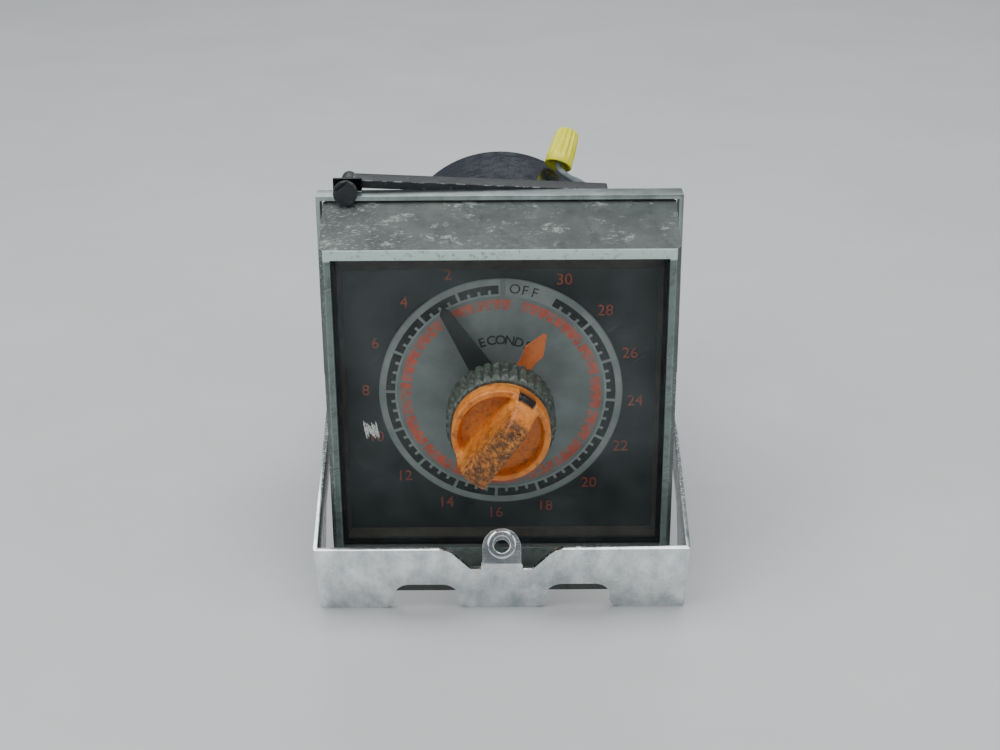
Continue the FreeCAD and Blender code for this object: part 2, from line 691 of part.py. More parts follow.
def make_solenoid():
    """The clutch solenoid with its hinged armature, above the dial axis."""
    base = "PlateFront + PlateThick"
    rise = "DialZ + 24"
    coil = cut(rod("0", deep(f"{base} + 1.2"), rise, "7", "13"), rod("0", deep(base), rise, "2.5", "20"))
    done(coil, "solenoid_coil")
    done(rod("0", deep(f"{base} + 1.2"), rise, "2.5", "15"), "solenoid_core")
    foot = block("-6", deep(base), "DialZ + 16.5", "12", "1.2", "18")
    back = block("-6", deep(base), "DialZ + 33", "12", "14", "1.5")
    ears = [block(x, deep(f"{base} + 14"), "DialZ + 32.2", "1", "6", "2.8") for x in ("-6", "5")]
    pin_hole = rod("-7", deep(f"{base} + 18"), "DialZ + 33.6", "0.8", "14", "+X")
    done(cut(join(foot, back, *ears), pin_hole), "solenoid_frame")
    done(rod("-6.4", deep(f"{base} + 18"), "DialZ + 33.6", "0.8", "12.8", "+X"), "lever_pin")
    lever = block("-4.6", deep(f"{base} + 17"), "DialZ + 12", "9.2", "1.4", "21")
    barrel = rod("-4.6", deep(f"{base} + 18"), "DialZ + 33.6", "1.4", "9.2", "+X")
    bore = rod("-6", deep(f"{base} + 18"), "DialZ + 33.6", "0.8 + Fit", "12", "+X")
    done(cut(join(lever, barrel), bore), "clutch_lever")


def make_switches():
    """Two snap switches round the trip cam, each with its own sliding button."""
    face = "CamRadius + 2.4"
    front = deep("CamDeep - 1.7")
    middle = deep("CamDeep + 1.5")
    low = cut(block("-10", front, f"DialZ - ({face}) - 10", "20", "6.4", "10"),
              rod("0", middle, f"DialZ - ({face}) + 1", "1 + Fit", "5", "-Z"))
    done(low, "load_switch")
    done(rod("0", middle, f"DialZ - ({face}) + 2", "1", "4.5", "-Z"), "load_button")
    side = cut(block(face, front, "DialZ - 10", "10", "6.4", "20"),
               rod(f"{face} - 1", middle, "DialZ", "1 + Fit", "5", "+X"))
    done(side, "delay_switch")
    done(rod(f"{face} - 2", middle, "DialZ", "1", "4.5", "+X"), "delay_button")
    legs = [block(x, middle, f"DialZ - ({face}) - 15", "0.8", "2.8", "5") for x in ("-8", "-1", "7")]
    legs += [block(f"{face} + 10", middle, z, "5", "2.8", "0.8") for z in ("DialZ - 8", "DialZ - 1", "DialZ + 7")]
    done(group(legs), "switch_terminals")


# Case, rear can and terminals ----------------------------------------------------------

SCREW_X = 44.3
SCREW_HEIGHTS = (6.5, 107.5)
YOKE_SCREW_DEEP = 22.5
YOKE_SCREW_Z = 84


def make_case():
    """A folded sheet box behind the bezel, with an upstand behind the visor."""
    long = "CaseBack - BezelDeep"
    outside = block("-CaseHalf", deep("BezelDeep"), "0", "2 * CaseHalf", long, "CaseHigh")
    upstand = block("-CaseHalf", deep("BezelDeep"), "CaseHigh - 1", "2 * CaseHalf", "CaseWall", "UpstandHigh - CaseHigh + 1")
    inside = block("CaseWall - CaseHalf", deep("BezelDeep + CaseWall"), "CaseWall",
                   "2 * (CaseHalf - CaseWall)", f"{long} - 2 * CaseWall", "CaseHigh - 2 * CaseWall")
    mouth = block("-40", deep("BezelDeep - 1"), "14", "80", "3", "74")
    tools = [inside, mouth, rod("0", deep("CaseBack - 3"), "DialZ", "CaseHole", "5")]
    for sign in SIDES:
        for height in SCREW_HEIGHTS:
            tools.append(rod(sign * SCREW_X, deep("BezelDeep - 1"), height, "1.5", "4"))
        way = "+X" if sign > 0 else "-X"
        tools.append(rod(f"{sign} * (CaseHalf - 3)", deep("PivotDeep"), "PivotHigh", "2.1", "6", way))
        tools.append(rod(f"{sign} * (CaseHalf - 3)", deep(YOKE_SCREW_DEEP), YOKE_SCREW_Z, "1.5", "6", way))
    done(cut(join(outside, upstand), *tools), "case_shell")
    screws = []
    for sign in SIDES:
        for height in SCREW_HEIGHTS:
            x = sign * SCREW_X
            shank = rod(x, deep("BezelDeep - 6"), height, "1.25", "6 + CaseWall")
            screws.append(join(shank, rod(x, deep("BezelDeep + CaseWall"), height, "2", "1.6")))
    done(group(screws), "case_screws")


def rounded_drum(radius, front, back, round_over):
    """A solid drum about the dial axis with its rear edge rounded."""
    body = turned((("0", front), (radius, front), (radius, back), ("0", back)), None)

    def rear_edge(edge, middle):
        return isinstance(edge.Curve, Part.Circle) and middle.y > size(back) - 0.1

    soften(body, "Fillet", round_over, rear_edge)
    return body


def make_rear_can():
    """A deep-drawn round can over the motor, held by two long studs."""
    outside = rounded_drum("CanRadius", "CaseBack", "CanBack", "CanRound")
    inside = rounded_drum("CanRadius - CanWall", "CaseBack - 1", "CanBack - CanWall", "CanRound - CanWall")
    hole = rod("CanRadius - 5", deep("GrommetDeep"), "GrommetZ", "2.4", "10", "+X")
    studs = [rod(f"{sign} * StudX", deep("CanBack - 5"), "DialZ", "StudRadius + 0.1", "10") for sign in SIDES]
    done(cut(outside, inside, hole, *studs), "rear_can")
    front = "PlateFront + 2 * PlateThick + PillarLong + MotorLong"
    studs = []
    nuts = []
    for sign in SIDES:
        x = f"{sign} * StudX"
        studs.append(rod(x, deep(front), "DialZ", "StudRadius", f"CanBack + 2.4 - ({front})"))
        nut = rod(x, deep("CanBack"), "DialZ", "3.4", "3")
        nuts.append(cut(nut, rod(x, deep("CanBack - 1"), "DialZ", "StudRadius", "3.4")))
    done(group(studs), "cover_studs")
    done(group(nuts), "cover_nuts")


def make_terminals():
    """A barrier strip of six screw terminals under the rear can."""
    bays = [f"{number} * BayPitch" for number in (-2.5, -1.5, -0.5, 0.5, 1.5, 2.5)]
    base = block("-BlockHalf", deep("CaseBack"), "BlockLow", "2 * BlockHalf", "5", "BlockTall")
    walls = [
        block(f"{number} * BayPitch - 0.8", deep("CaseBack + 4"), "BlockLow", "1.6", "6", "BlockTall")
        for number in (-3, -2, -1, 0, 1, 2, 3)
    ]
    middle = "BlockLow + BlockTall / 2"
    bores = [rod(x, deep("CaseBack + 1"), middle, "1.5", "10") for x in bays]
    done(cut(join(base, *walls), *bores), "terminal_block")
    tags = [
        cut(block(f"{x} - 3.4", deep("CaseBack + 5"), f"{middle} - 4.5", "6.8", "0.8", "9"),
            rod(x, deep("CaseBack + 4"), middle, "1.5", "4"))
        for x in bays
    ]
    done(group(tags), "terminal_tags")
    screws = [
        join(rod(x, deep("CaseBack + 1.5"), middle, "1.4", "5"), rod(x, deep("CaseBack + 5.8"), middle, "2.7", "1.6"))
        for x in bays
    ]
    done(group(screws), "terminal_screws")


# Yoke, clamp and bail ------------------------------------------------------------------

def make_yoke():
    """A plated steel bracket over the case that carries the bail and the clamp strap."""
    tools = []
    plates = []
    for sign in SIDES:
        body = new_body()
        start = "YokeIn" if sign > 0 else "-(YokeIn + YokeSheet)"
        sketch = sketch_on(body, "YZ_Plane", start)
        outline(sketch, (
            ("YokeFront", "YokeTop"), ("YokeFront", "62"), ("36", "39.5"), ("54", "39.5"),
            ("54", "53"), ("30", "82"), ("YokeFront + YokeDeep", "90"), ("YokeFront + YokeDeep", "YokeTop"),
        ))
        pad(body, sketch, "YokeSheet")
        place(body, "0", "FrontY", "0")
        plates.append(body)
        way = "+X" if sign > 0 else "-X"
        tools.append(rod(f"{sign} * 48", deep("PivotDeep"), "PivotHigh", "2.1", "6", way))
        tools.append(rod(f"{sign} * 48", deep(YOKE_SCREW_DEEP), YOKE_SCREW_Z, "1.5", "6", way))
    half = "(YokeIn + YokeSheet)"
    band = block(f"-{half}", deep("YokeFront"), "YokeTop - YokeSheet", f"2 * {half}", "YokeDeep", "YokeSheet")
    lug = block("ClampX - 4", deep("YokeFront + YokeDeep - YokeSheet"), "YokeTop - YokeSheet", "8", "YokeSheet", "4.8")
    tools.append(rod("ClampX", deep("YokeFront"), "ClampZ", "1.25", "10"))
    done(cut(join(*plates, band, lug), *tools), "frame_yoke")
    screws = []
    spacers = []
    for sign in SIDES:
        way = "+X" if sign > 0 else "-X"
        at = (deep(YOKE_SCREW_DEEP), YOKE_SCREW_Z)
        shank = rod(f"{sign} * 45", *at, "1.4", "YokeIn + YokeSheet - 45", way)
        screws.append(join(shank, rod(f"{sign} * {half}", *at, "2.6", "1.4", way)))
        for y, z, radius, bore in ((*at, "3", "1.5"), (deep("PivotDeep"), "PivotHigh", "5", "2.1")):
            ring = rod(f"{sign} * CaseHalf", y, z, radius, "YokeIn - CaseHalf", way)
            spacers.append(cut(ring, rod(f"{sign} * 46", y, z, bore, "6", way)))
    done(group(screws), "yoke_screws")
    done(group(spacers), "yoke_spacers")


def make_clamp():
    """A slightly tilted strap behind the yoke, with a boss that the clamp screw enters."""
    front = deep("YokeFront + YokeDeep + 0.2")
    boss = rod("ClampX", front, "ClampZ", "2.2", "StrapDeep")
    strap = block("ClampX", front, "ClampZ - 0.8", "StrapLong", "StrapDeep", "StrapThick")
    tilt = FreeCAD.Rotation(V(0, 1, 0), size("StrapTilt"))
    strap.Placement = FreeCAD.Placement(V(0, 0, 0), tilt)
    place(strap, "ClampX", front, "ClampZ - 0.8")
    done(cut(join(boss, strap), rod("ClampX", front, "ClampZ", "1.2", "StrapDeep - 1")), "clamp_strap")
    head = rod("ClampX", deep("YokeFront - 2.1"), "ClampZ", "3.35", "2")
    shank = rod("ClampX", deep("YokeFront - 0.2"), "ClampZ", "1.15", "YokeDeep + 5")
    slot = block("-4", "-1", "-0.4", "8", "2", "0.8")
    slot.Placement = FreeCAD.Placement(V(0, 0, 0), FreeCAD.Rotation(V(0, 1, 0), -35))
    slot_turned = doc.addObject("Part::Compound", "slot")
    slot_turned.Links = [slot]
    place(slot_turned, "ClampX", deep("YokeFront - 2.1"), "ClampZ")
    done(cut(join(head, shank), slot_turned), "clamp_screw")


def bail_point(back, up):
    """Frame depth and height of a point given along the arms and up the strip."""
    tilt = math.radians(size("BailTilt"))
    y = size(deep("BailFootDeep")) + back * math.cos(tilt) - up * math.sin(tilt)
    return y, back * math.sin(tilt) + up * math.cos(tilt)


def pivot_on_bail():
    """Where the pivot lies along the arms and up the strip."""
    tilt = math.radians(size("BailTilt"))
    y = size("PivotDeep - BailFootDeep")
    z = size("PivotHigh")
    return y * math.cos(tilt) + z * math.sin(tilt), z * math.cos(tilt) - y * math.sin(tilt)


def make_bail():
    """A sheet handle: a front strip with two arches, a notch and a folded tab, and two arms."""
    body = new_body()
    half = "(BailIn + BailSheet)"
    strip = sketch_on(body, "XZ_Plane", "-BailSheet")
    right = (
        ("ArchX - ArchWide / 2", "0"), ("ArchX - ArchWide / 2", "ArchTall"), ("ArchX + ArchWide / 2", "ArchTall"),
        ("ArchX + ArchWide / 2", "0"), (half, "0"), (half, "BailTall"), ("NotchTop", "BailTall"),
        ("NotchFoot + 1.4", "BailTall - NotchDeep"), ("TabHalf + 0.4", "BailTall - NotchDeep"),
        ("TabHalf + 0.4", "TabFold - 1"), ("TabHalf", "TabFold - 1"), ("TabHalf", "TabFold"),
    )
    outline(strip, right + mirror_x(right))
    pad(body, strip, "BailSheet")
    along_y = V(0, 1, 0)

    def at(places):
        def wanted(edge, middle):
            return runs_along(edge, along_y) and any(
                abs(abs(middle.x) - x) < 0.05 and abs(middle.z - z) < 0.05 for x, z in places)
        return wanted

    arch = size("ArchX")
    wide = size("ArchWide") / 2
    tall = size("ArchTall")
    notch = size("BailTall")
    soften(body, "Fillet", "4.6", at([(arch - wide, tall), (arch + wide, tall)]))
    soften(body, "Fillet", "3.8", at([(arch - wide, 0), (arch + wide, 0)]))
    soften(body, "Fillet", "5", at([(size("NotchTop"), notch)]))
    soften(body, "Fillet", "1", at([(size("NotchFoot") + 1.4, notch - size("NotchDeep"))]))
    reach, rise = pivot_on_bail()
    for sign in SIDES:
        arm = sketch_on(body, "YZ_Plane", "BailIn" if sign > 0 else f"-{half}")
        outline(arm, (
            ("0", "0"), ("6", "0"), ("26", "BailTall - ArmTall"), (reach, "BailTall - ArmTall"),
            (reach + 3.9, f"{rise} - 4.2"), (reach + 5.3, rise), (reach + 3.9, f"{rise} + 3.9"),
            (reach + 0.5, "BailTall"), ("0", "BailTall"),
        ))
        round_hole(arm, reach, rise, "2.5 + Fit")
        pad(body, arm, "BailSheet")
    along_z = V(0, 0, 1)

    def outer_bend(edge, middle):
        return runs_along(edge, along_z) and abs(middle.x) > size(half) - 0.05 and middle.y < 0.05

    soften(body, "Fillet", "0.9", outer_bend)
    body.Placement = FreeCAD.Placement(V(0, 0, 0), FreeCAD.Rotation(V(1, 0, 0), size("BailTilt")))
    place(body, "0", deep("BailFootDeep"), "0")
    tab = new_body()
    face = sketch_on(tab, "XZ_Plane", "-BailSheet")
    low = "TabTall - TabHalf"
    outline(face, (
        ("-TabHalf", "-0.3"), ("TabHalf", "-0.3"), ("TabHalf", "TabTall"), ("-TabHalf", "TabTall"),
    ))
    round_hole(face, "0", low, "TabHole")
    pad(tab, face, "BailSheet")

    def tab_top(edge, middle):
        return runs_along(edge, along_y) and middle.z > size("TabTall") - 0.05

    soften(tab, "Fillet", "TabHalf - 0.05", tab_top)
    tab.Placement = FreeCAD.Placement(V(0, 0, 0), FreeCAD.Rotation(V(1, 0, 0), size("BailTilt - TabLean")))
    y, z = bail_point(0, size("TabFold"))
    place(tab, "0", y, z)
    done(join(body, tab), "bail")
    pivots = []
    for sign in SIDES:
        way = "+X" if sign > 0 else "-X"
        at_pivot = (deep("PivotDeep"), "PivotHigh")
        face = "YokeIn + YokeSheet"
        thread = rod(f"{sign} * 44", *at_pivot, "2", f"{face} - 44", way)
        shoulder = rod(f"{sign} * ({face})", *at_pivot, "2.5", "BailIn + BailSheet + 0.1 - YokeIn - YokeSheet", way)
        head = rod(f"{sign} * (BailIn + BailSheet + 0.1)", *at_pivot, "4.2", "1.4", way)
        pivots.append(join(thread, shoulder, head))
    done(group(pivots), "bail_pivots")


# Lead and wire nut ---------------------------------------------------------------------

# the lead's route: across, depth behind the bezel's front plane, height
LEAD_ROUTE = (
    (38.9, 136.0, 55.6), (42.9, 136.1, 55.5), (46.7, 136.3, 57.0), (49.2, 136.5, 60.2), (49.9, 136.8, 64.2),
    (48.6, 137.0, 68.2), (45.6, 137.1, 71.6), (39.6, 136.9, 76.4), (32.4, 135.8, 81.6), (27.0, 132.4, 86.0),
    (24.6, 127.4, 88.0), (21.7, 127.3, 90.3), (20.1, 129.9, 91.7), (21.1, 131.8, 94.1),
)
NUT_AXIS = (3.8, 8.0, 9.9)
NUT_RECESS = 3.0


def tube_along(points, radius):
    """A round tube on straight runs joined by tangent arcs, and its bend radii."""
    edges = []
    bends = []
    start = points[0]
    for index in range(1, len(points) - 1):
        before, corner, after = points[index - 1:index + 2]
        way_in = (corner - before).normalize()
        way_out = (after - corner).normalize()
        half_turn = way_in.getAngle(way_out) / 2
        bend = 0.45 * min((corner - before).Length, (after - corner).Length) / math.tan(half_turn)
        bends.append(bend)
        reach = bend * math.tan(half_turn)
        first = corner - way_in * reach
        last = corner + way_out * reach
        toward = (way_out - way_in).normalize()
        centre = corner + toward * (bend / math.cos(half_turn))
        edges.append(Part.LineSegment(start, first).toShape())
        edges.append(Part.Arc(first, centre - toward * bend, last).toShape())
        start = last
    edges.append(Part.LineSegment(start, points[-1]).toShape())
    path = Part.Wire(edges)
    section = Part.Wire(Part.makeCircle(radius, points[0], points[1] - points[0]))
    return path.makePipeShell([section], True, True), path.Length, bends


def make_lead():
    """The grommet in the can's wall, the lead and the wire nut on its end."""
    y0 = size("FrontY")
    points = [V(x, y0 + depth, z) for x, depth, z in LEAD_ROUTE]
    axis = V(*NUT_AXIS).normalize()
    mouth = points[-1] - axis * NUT_RECESS
    solid, long, bends = tube_along(points, size("LeadRadius"))
    expected = math.pi * size("LeadRadius") ** 2 * long
    print("lead length", round(long, 2), "volume ratio", round(solid.Volume / expected, 4))
    print("lead bend radii", [round(bend, 1) for bend in bends])
    lead = doc.addObject("Part::Feature", "lead")
    lead.Shape = solid
    done(lead, "lead_wire")
    out = "+X"
    back = size("sqrt(CanRadius ^ 2 - (GrommetZ - DialZ) ^ 2)")
    at = (deep("GrommetDeep"), "GrommetZ")
    sleeve = rod(back - 2.2, *at, "2.3", points[0].x - back + 2.2, out)
    collar = rod(back + 0.15, *at, "3.3", "1.6", out)
    done(cut(join(sleeve, collar), rod(back - 4, *at, "LeadRadius + 0.05", "10", out)), "lead_grommet")
    body = new_body()
    sketch = sketch_on(body, "XZ_Plane")
    outline(sketch, (
        ("0", NUT_RECESS), ("NutRadius - 1.2", NUT_RECESS), ("NutRadius - 1.2", "0"), ("NutRadius", "0"),
        ("NutRadius", "3.5"), ("NutRadius - 0.9", "NutLong - 3"), ("NutRadius - 2.2", "NutLong"), ("0", "NutLong"),
    ))
    feature = body.newObject("PartDesign::Revolution", "turned")
    feature.Profile = sketch
    feature.ReferenceAxis = (origin_part(body, "Z_Axis"), [""])
    feature.Angle = 360
    body.Placement = FreeCAD.Placement(V(0, 0, 0), FreeCAD.Rotation(V(0, 0, 1), axis))
    place(body, mouth.x, mouth.y, mouth.z)
    done(body, "wire_nut")


def check_and_write():
    """Stop on any failed object or bad shape, then write one file for each sub-part."""
    doc.recompute()
    for thing in doc.Objects:
        if "Invalid" in thing.State or "Error" in thing.State:
            raise RuntimeError(f"{thing.Name} failed")
    os.makedirs("parts", exist_ok=True)
    for thing in finished:
        if thing.Shape.isNull() or not thing.Shape.isValid():
            raise RuntimeError(f"{thing.Label} has no valid shape")
    for thing in finished:
        thing.Shape.exportStep(f"parts/{thing.Label}.step")
    print(len(finished), "sub-parts written")


make_bezel()
make_front()
make_bushing()
make_lock_ring()
make_knob()
make_setting()
idler_place = make_gears()
make_progress()
make_plates(*idler_place)
make_motor()
make_solenoid()
make_switches()
make_case()
make_rear_can()
make_terminals()
make_yoke()
make_clamp()
make_bail()
make_lead()
check_and_write()
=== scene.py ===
import math

import bmesh
import bpy
import numpy as np
from mathutils import Matrix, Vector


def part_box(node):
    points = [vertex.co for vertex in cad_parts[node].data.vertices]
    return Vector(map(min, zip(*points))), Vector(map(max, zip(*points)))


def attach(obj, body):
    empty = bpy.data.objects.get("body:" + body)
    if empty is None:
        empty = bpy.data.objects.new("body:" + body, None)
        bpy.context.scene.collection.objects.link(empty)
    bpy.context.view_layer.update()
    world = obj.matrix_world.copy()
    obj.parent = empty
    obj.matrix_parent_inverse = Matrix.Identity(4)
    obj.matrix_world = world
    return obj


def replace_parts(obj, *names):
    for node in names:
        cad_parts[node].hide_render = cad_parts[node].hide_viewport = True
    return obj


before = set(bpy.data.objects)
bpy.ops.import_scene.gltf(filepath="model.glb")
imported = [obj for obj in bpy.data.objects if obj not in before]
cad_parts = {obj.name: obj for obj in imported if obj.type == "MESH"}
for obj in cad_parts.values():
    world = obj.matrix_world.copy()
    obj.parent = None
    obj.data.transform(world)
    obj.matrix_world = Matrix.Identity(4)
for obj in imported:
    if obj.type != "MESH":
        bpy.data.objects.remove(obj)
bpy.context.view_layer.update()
MM = 0.001

# Frame places. A depth is measured back from the bezel's front plane.
FRONT_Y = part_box("bezel")[0].y
FACE_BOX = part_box("dial_face")
DIAL_Z = (FACE_BOX[0].z + FACE_BOX[1].z) / 2
FACE_FRONT = FACE_BOX[0].y
PLATE_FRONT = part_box("dial_plate")[0].y
WINDOW_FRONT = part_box("window")[0].y


# Colour and nodes ----------------------------------------------------------------------

def linear(code):
    """An sRGB hex colour as linear red, green, blue and alpha."""
    parts = [int(code[i:i + 2], 16) / 255 for i in (1, 3, 5)]
    return tuple(c / 12.92 if c <= 0.04045 else ((c + 0.055) / 1.055) ** 2.4 for c in parts) + (1.0,)


def plug(tree, value, socket):
    """Feed a socket from a node's first output or from the output given."""
    tree.links.new(value.outputs[0] if isinstance(value, bpy.types.Node) else value, socket)


def node(tree, kind, inputs=(), stops=(), **settings):
    """Add a node with its settings, ramp stops and inputs: a value, a hex colour or what feeds the input."""
    made = tree.nodes.new("ShaderNode" + kind)
    for name, value in settings.items():
        setattr(made, name, value)
    for socket, value in dict(inputs).items():
        if isinstance(value, (bpy.types.Node, bpy.types.NodeSocket)):
            plug(tree, value, made.inputs[socket])
        else:
            made.inputs[socket].default_value = linear(value) if isinstance(value, str) else value
    for index, (place, tone) in enumerate(stops):
        elements = made.color_ramp.elements
        stop = elements[index] if index < 2 else elements.new(place)
        stop.position = place
        stop.color = linear(tone) if isinstance(tone, str) else (tone, tone, tone, 1.0)
    return made


def cloud(tree, size, stops=(), detail=6.0, rough=0.65, stretch=(1, 1, 1), turn=0.0, shift=(0, 0, 0)):
    """Patches about size millimetres across, stretched along an axis, turned about Y, read off on stops."""
    place = node(tree, "TexCoord").outputs["Object"]
    placed = node(tree, "Mapping", {"Vector": place, "Rotation": (0, math.radians(turn), 0)})
    scaled = node(tree, "Mapping", {"Vector": placed, "Location": shift,
                                    "Scale": tuple(s / (size * MM) for s in stretch)})
    patches = node(tree, "TexNoise", {"Vector": scaled, "Scale": 1.0, "Detail": detail, "Roughness": rough})
    return node(tree, "ValToRGB", {"Fac": patches}, stops) if stops else patches


def coats(tree, base, *layers):
    """A colour with more laid over it: each layer is the share that it covers and its colour."""
    for share, colour in layers:
        base = node(tree, "Mix", {0: share, 6: base, 7: colour}, data_type="RGBA").outputs[2]
    return base


def product(tree, *factors):
    """Several shares multiplied together."""
    result = factors[0]
    for factor in factors[1:]:
        result = node(tree, "Math", {0: result, 1: factor}, operation="MULTIPLY")
    return result


def height(tree, low, high, axis="Z"):
    """A share that rises from 0 to 1 between two places along an axis, in millimetres in the row frame."""
    split = node(tree, "SeparateXYZ", {0: node(tree, "TexCoord").outputs["Object"]}).outputs[axis]
    return node(tree, "MapRange", {"Value": split, "From Min": low * MM, "From Max": high * MM})


def strokes(tree, size, turn, amount, shift=(0, 0, 0)):
    """Fine scratches in one direction: patches pulled out long, cut high, broken up by bigger ones."""
    fine = cloud(tree, size, [(1 - amount, 0.0), (1.02 - amount, 1.0)], 2.0, 0.5, (0.04, 1, 1), turn, shift)
    return product(tree, fine, cloud(tree, 30.0, [(0.45, 0.0), (0.6, 1.0)], shift=shift))


def finish(name, colour, roughness=None, relief=None, strength=0.2, depth=0.05, **even):
    """A material: functions of the tree build colour, roughness and relief; even values sit on the shader."""
    made = bpy.data.materials.new(name)
    made.use_nodes = True
    tree = made.node_tree
    shader = tree.nodes["Principled BSDF"]
    for socket, value in even.items():
        shader.inputs[socket.replace("_", " ")].default_value = value
    built = {"Base Color": colour(tree)}
    if roughness:
        built["Roughness"] = roughness(tree)
    if relief:
        built["Normal"] = node(tree, "Bump", {"Height": relief(tree), "Strength": strength,
                                              "Distance": depth * MM})
    for socket, value in built.items():
        plug(tree, value, shader.inputs[socket])
    return made


def plain(name, low, high, rough=(0.35, 0.55), grain=0.6, patch=5.0, worn=None, stretch=(1, 1, 1), **even):
    """A finish mottled between two tones, with a fine grain and flecks worn through to a third colour."""
    def colour(tree):
        tone = cloud(tree, patch, [(0.32, low), (0.68, high)], stretch=stretch)
        flecks = cloud(tree, 1.6, [(0.62, 0.0), (0.66, 1.0)], 8.0, 0.75, shift=(3, 1, 8))
        return coats(tree, tone, (flecks, worn)) if worn else tone
    return finish(name, colour, lambda tree: cloud(tree, patch * 0.7, [(0.3, rough[0]), (0.7, rough[1])]),
                  lambda tree: cloud(tree, grain, stretch=stretch), **even)


# Finishes ------------------------------------------------------------------------------

def bezel_colour(tree):
    """Grey stoved enamel, scratched: rubbed pale on the visor and worn to metal on its lip, both partly a
    painted highlight on the visor's upward face; lighter on every face but the front (painted light); darker
    low down (painted shade).
    """
    tone = cloud(tree, 11.0, [(0.32, "#474e4d"), (0.5, "#545c5a"), (0.68, "#636b68")])
    dirt = product(tree, cloud(tree, 4.0, [(0.36, 1.0), (0.5, 0.0)], 8.0, 0.7), 0.45)
    # Pale patches on the visor's top: partly rubbed paint, partly a painted highlight where that face looks
    # up into the overhead light.
    patches = cloud(tree, 5.0, [(0.555, 0.0), (0.61, 1.0)], 10.0, 0.8, (0.6, 1, 1), shift=(9, 3, 5))
    rubbed_and_lit_visor = product(tree, patches, height(tree, 103.0, 107.0), 0.85)
    marks = product(tree, strokes(tree, 0.5, 24.0, 0.4), 0.5)
    # Painted shade: the bezel darkens towards brown near its bottom, where the bail stands in front of it.
    low = product(tree, node(tree, "Math", {0: 1.0, 1: height(tree, 8.0, 16.0)}, operation="SUBTRACT"), 0.7)
    face = node(tree, "Math", {0: 1.0, 1: height(tree, -60.5, -60.2, "Y")}, operation="SUBTRACT")
    # Painted light: every face but the front is mottled towards a lighter teal, as the lit side walls look.
    sides = product(tree, face, cloud(tree, 2.6, [(0.4, 0.25), (0.52, 0.9)], 9.0, 0.75))
    # Worn to pale metal on the visor's top above the opening, with a painted highlight there too: that face
    # looks up into the overhead light.
    bare = cloud(tree, 1.8, [(0.36, 0.35), (0.46, 1.0)], 9.0, 0.75)
    lip_wear_and_top_light = product(tree, face, height(tree, 101.8, 102.2), bare)
    return coats(tree, tone, (dirt, "#373d3b"), (rubbed_and_lit_visor, "#98a59f"), (marks, "#adb9b4"), (sides, "#6f817c"),
                 (lip_wear_and_top_light, "#c3d8d1"), (low, "#35322d"))


def worn_edge(paint, metal, share, front_only=False):
    """What a painted edge shows: the paint's colour, rubbed through to metal over most of its length."""
    def colour(tree):
        in_front = node(tree, "Math", {0: 1.0, 1: height(tree, -52.0, -47.0, "Y")}, operation="SUBTRACT")
        cut = share / 5
        through = cloud(tree, 1.7, [(0.52 - cut, 0.0), (0.58 - cut, 1.0)], 9.0, 0.75, shift=(7, 7, 1))
        through = product(tree, through, in_front) if front_only else through
        dirt = product(tree, cloud(tree, 0.9, [(0.58, 0.0), (0.66, 1.0)], 6.0, shift=(2, 5, 9)), 0.7)
        return coats(tree, paint, (through, metal), (dirt, "#333a38"))
    return colour


def can_colour(tree):
    """Blue-black gloss enamel under settled dust."""
    dust = product(tree, cloud(tree, 5.0, [(0.5, 0.0), (0.72, 1.0)], 10.0, 0.72), 0.13)
    specks = product(tree, cloud(tree, 1.0, [(0.66, 0.0), (0.71, 1.0)], 3.0), 0.25)
    return coats(tree, "#050c20", (dust, "#43537a"), (specks, "#6f7f9a"))


def plated(name, low, high, rough, share, dark_below=None):
    """Bright plated sheet: faint drawn lines, rub marks crossing at several angles and small dull pits. Given
    a height, near black in patches below it, and in painted shade above 115 mm.
    """
    def colour(tree):
        pits = product(tree, cloud(tree, 0.9, [(0.64, 0.0), (0.72, 1.0)], 4.0, shift=(1, 6, 2)), 0.5)
        cloudy = cloud(tree, 6.0, [(0.34, low), (0.66, high)], 8.0, 0.7, (1, 1, 0.4))
        tone = coats(tree, cloudy, (pits, "#5d686b"))
        if dark_below is None:
            return tone
        # Near black in patches below the given height, fading out over the 6 mm above it.
        lower = node(tree, "Math", {0: 1.0, 1: height(tree, dark_below - 6, dark_below)}, operation="SUBTRACT")
        patchy = product(tree, lower, cloud(tree, 1.8, [(0.3, 0.75), (0.42, 1.0)], 8.0, 0.8))
        # Painted shade: above 115 mm the yoke turns near black, the dark of the shaded gap behind the visor.
        return coats(tree, tone, (patchy, "#0c0e10"), (height(tree, 115.0, 115.3), "#131619"))

    def spread(tree):
        rubs = node(tree, "Math", {0: strokes(tree, 0.4, 14.0, share), 1: strokes(tree, 0.3, -52.0, share)},
                    operation="ADD")
        marked = node(tree, "Math", {0: cloud(tree, 9.0), 1: rubs}, operation="ADD")
        return node(tree, "MapRange", {"Value": marked, "From Min": 0.2, "From Max": 1.4,
                                       "To Min": rough[0], "To Max": rough[1]})
    return finish(name, colour, spread, lambda tree: cloud(tree, 0.5, detail=2.0, stretch=(0.05, 1, 1)),
                  0.12, 0.03, Metallic=1.0)


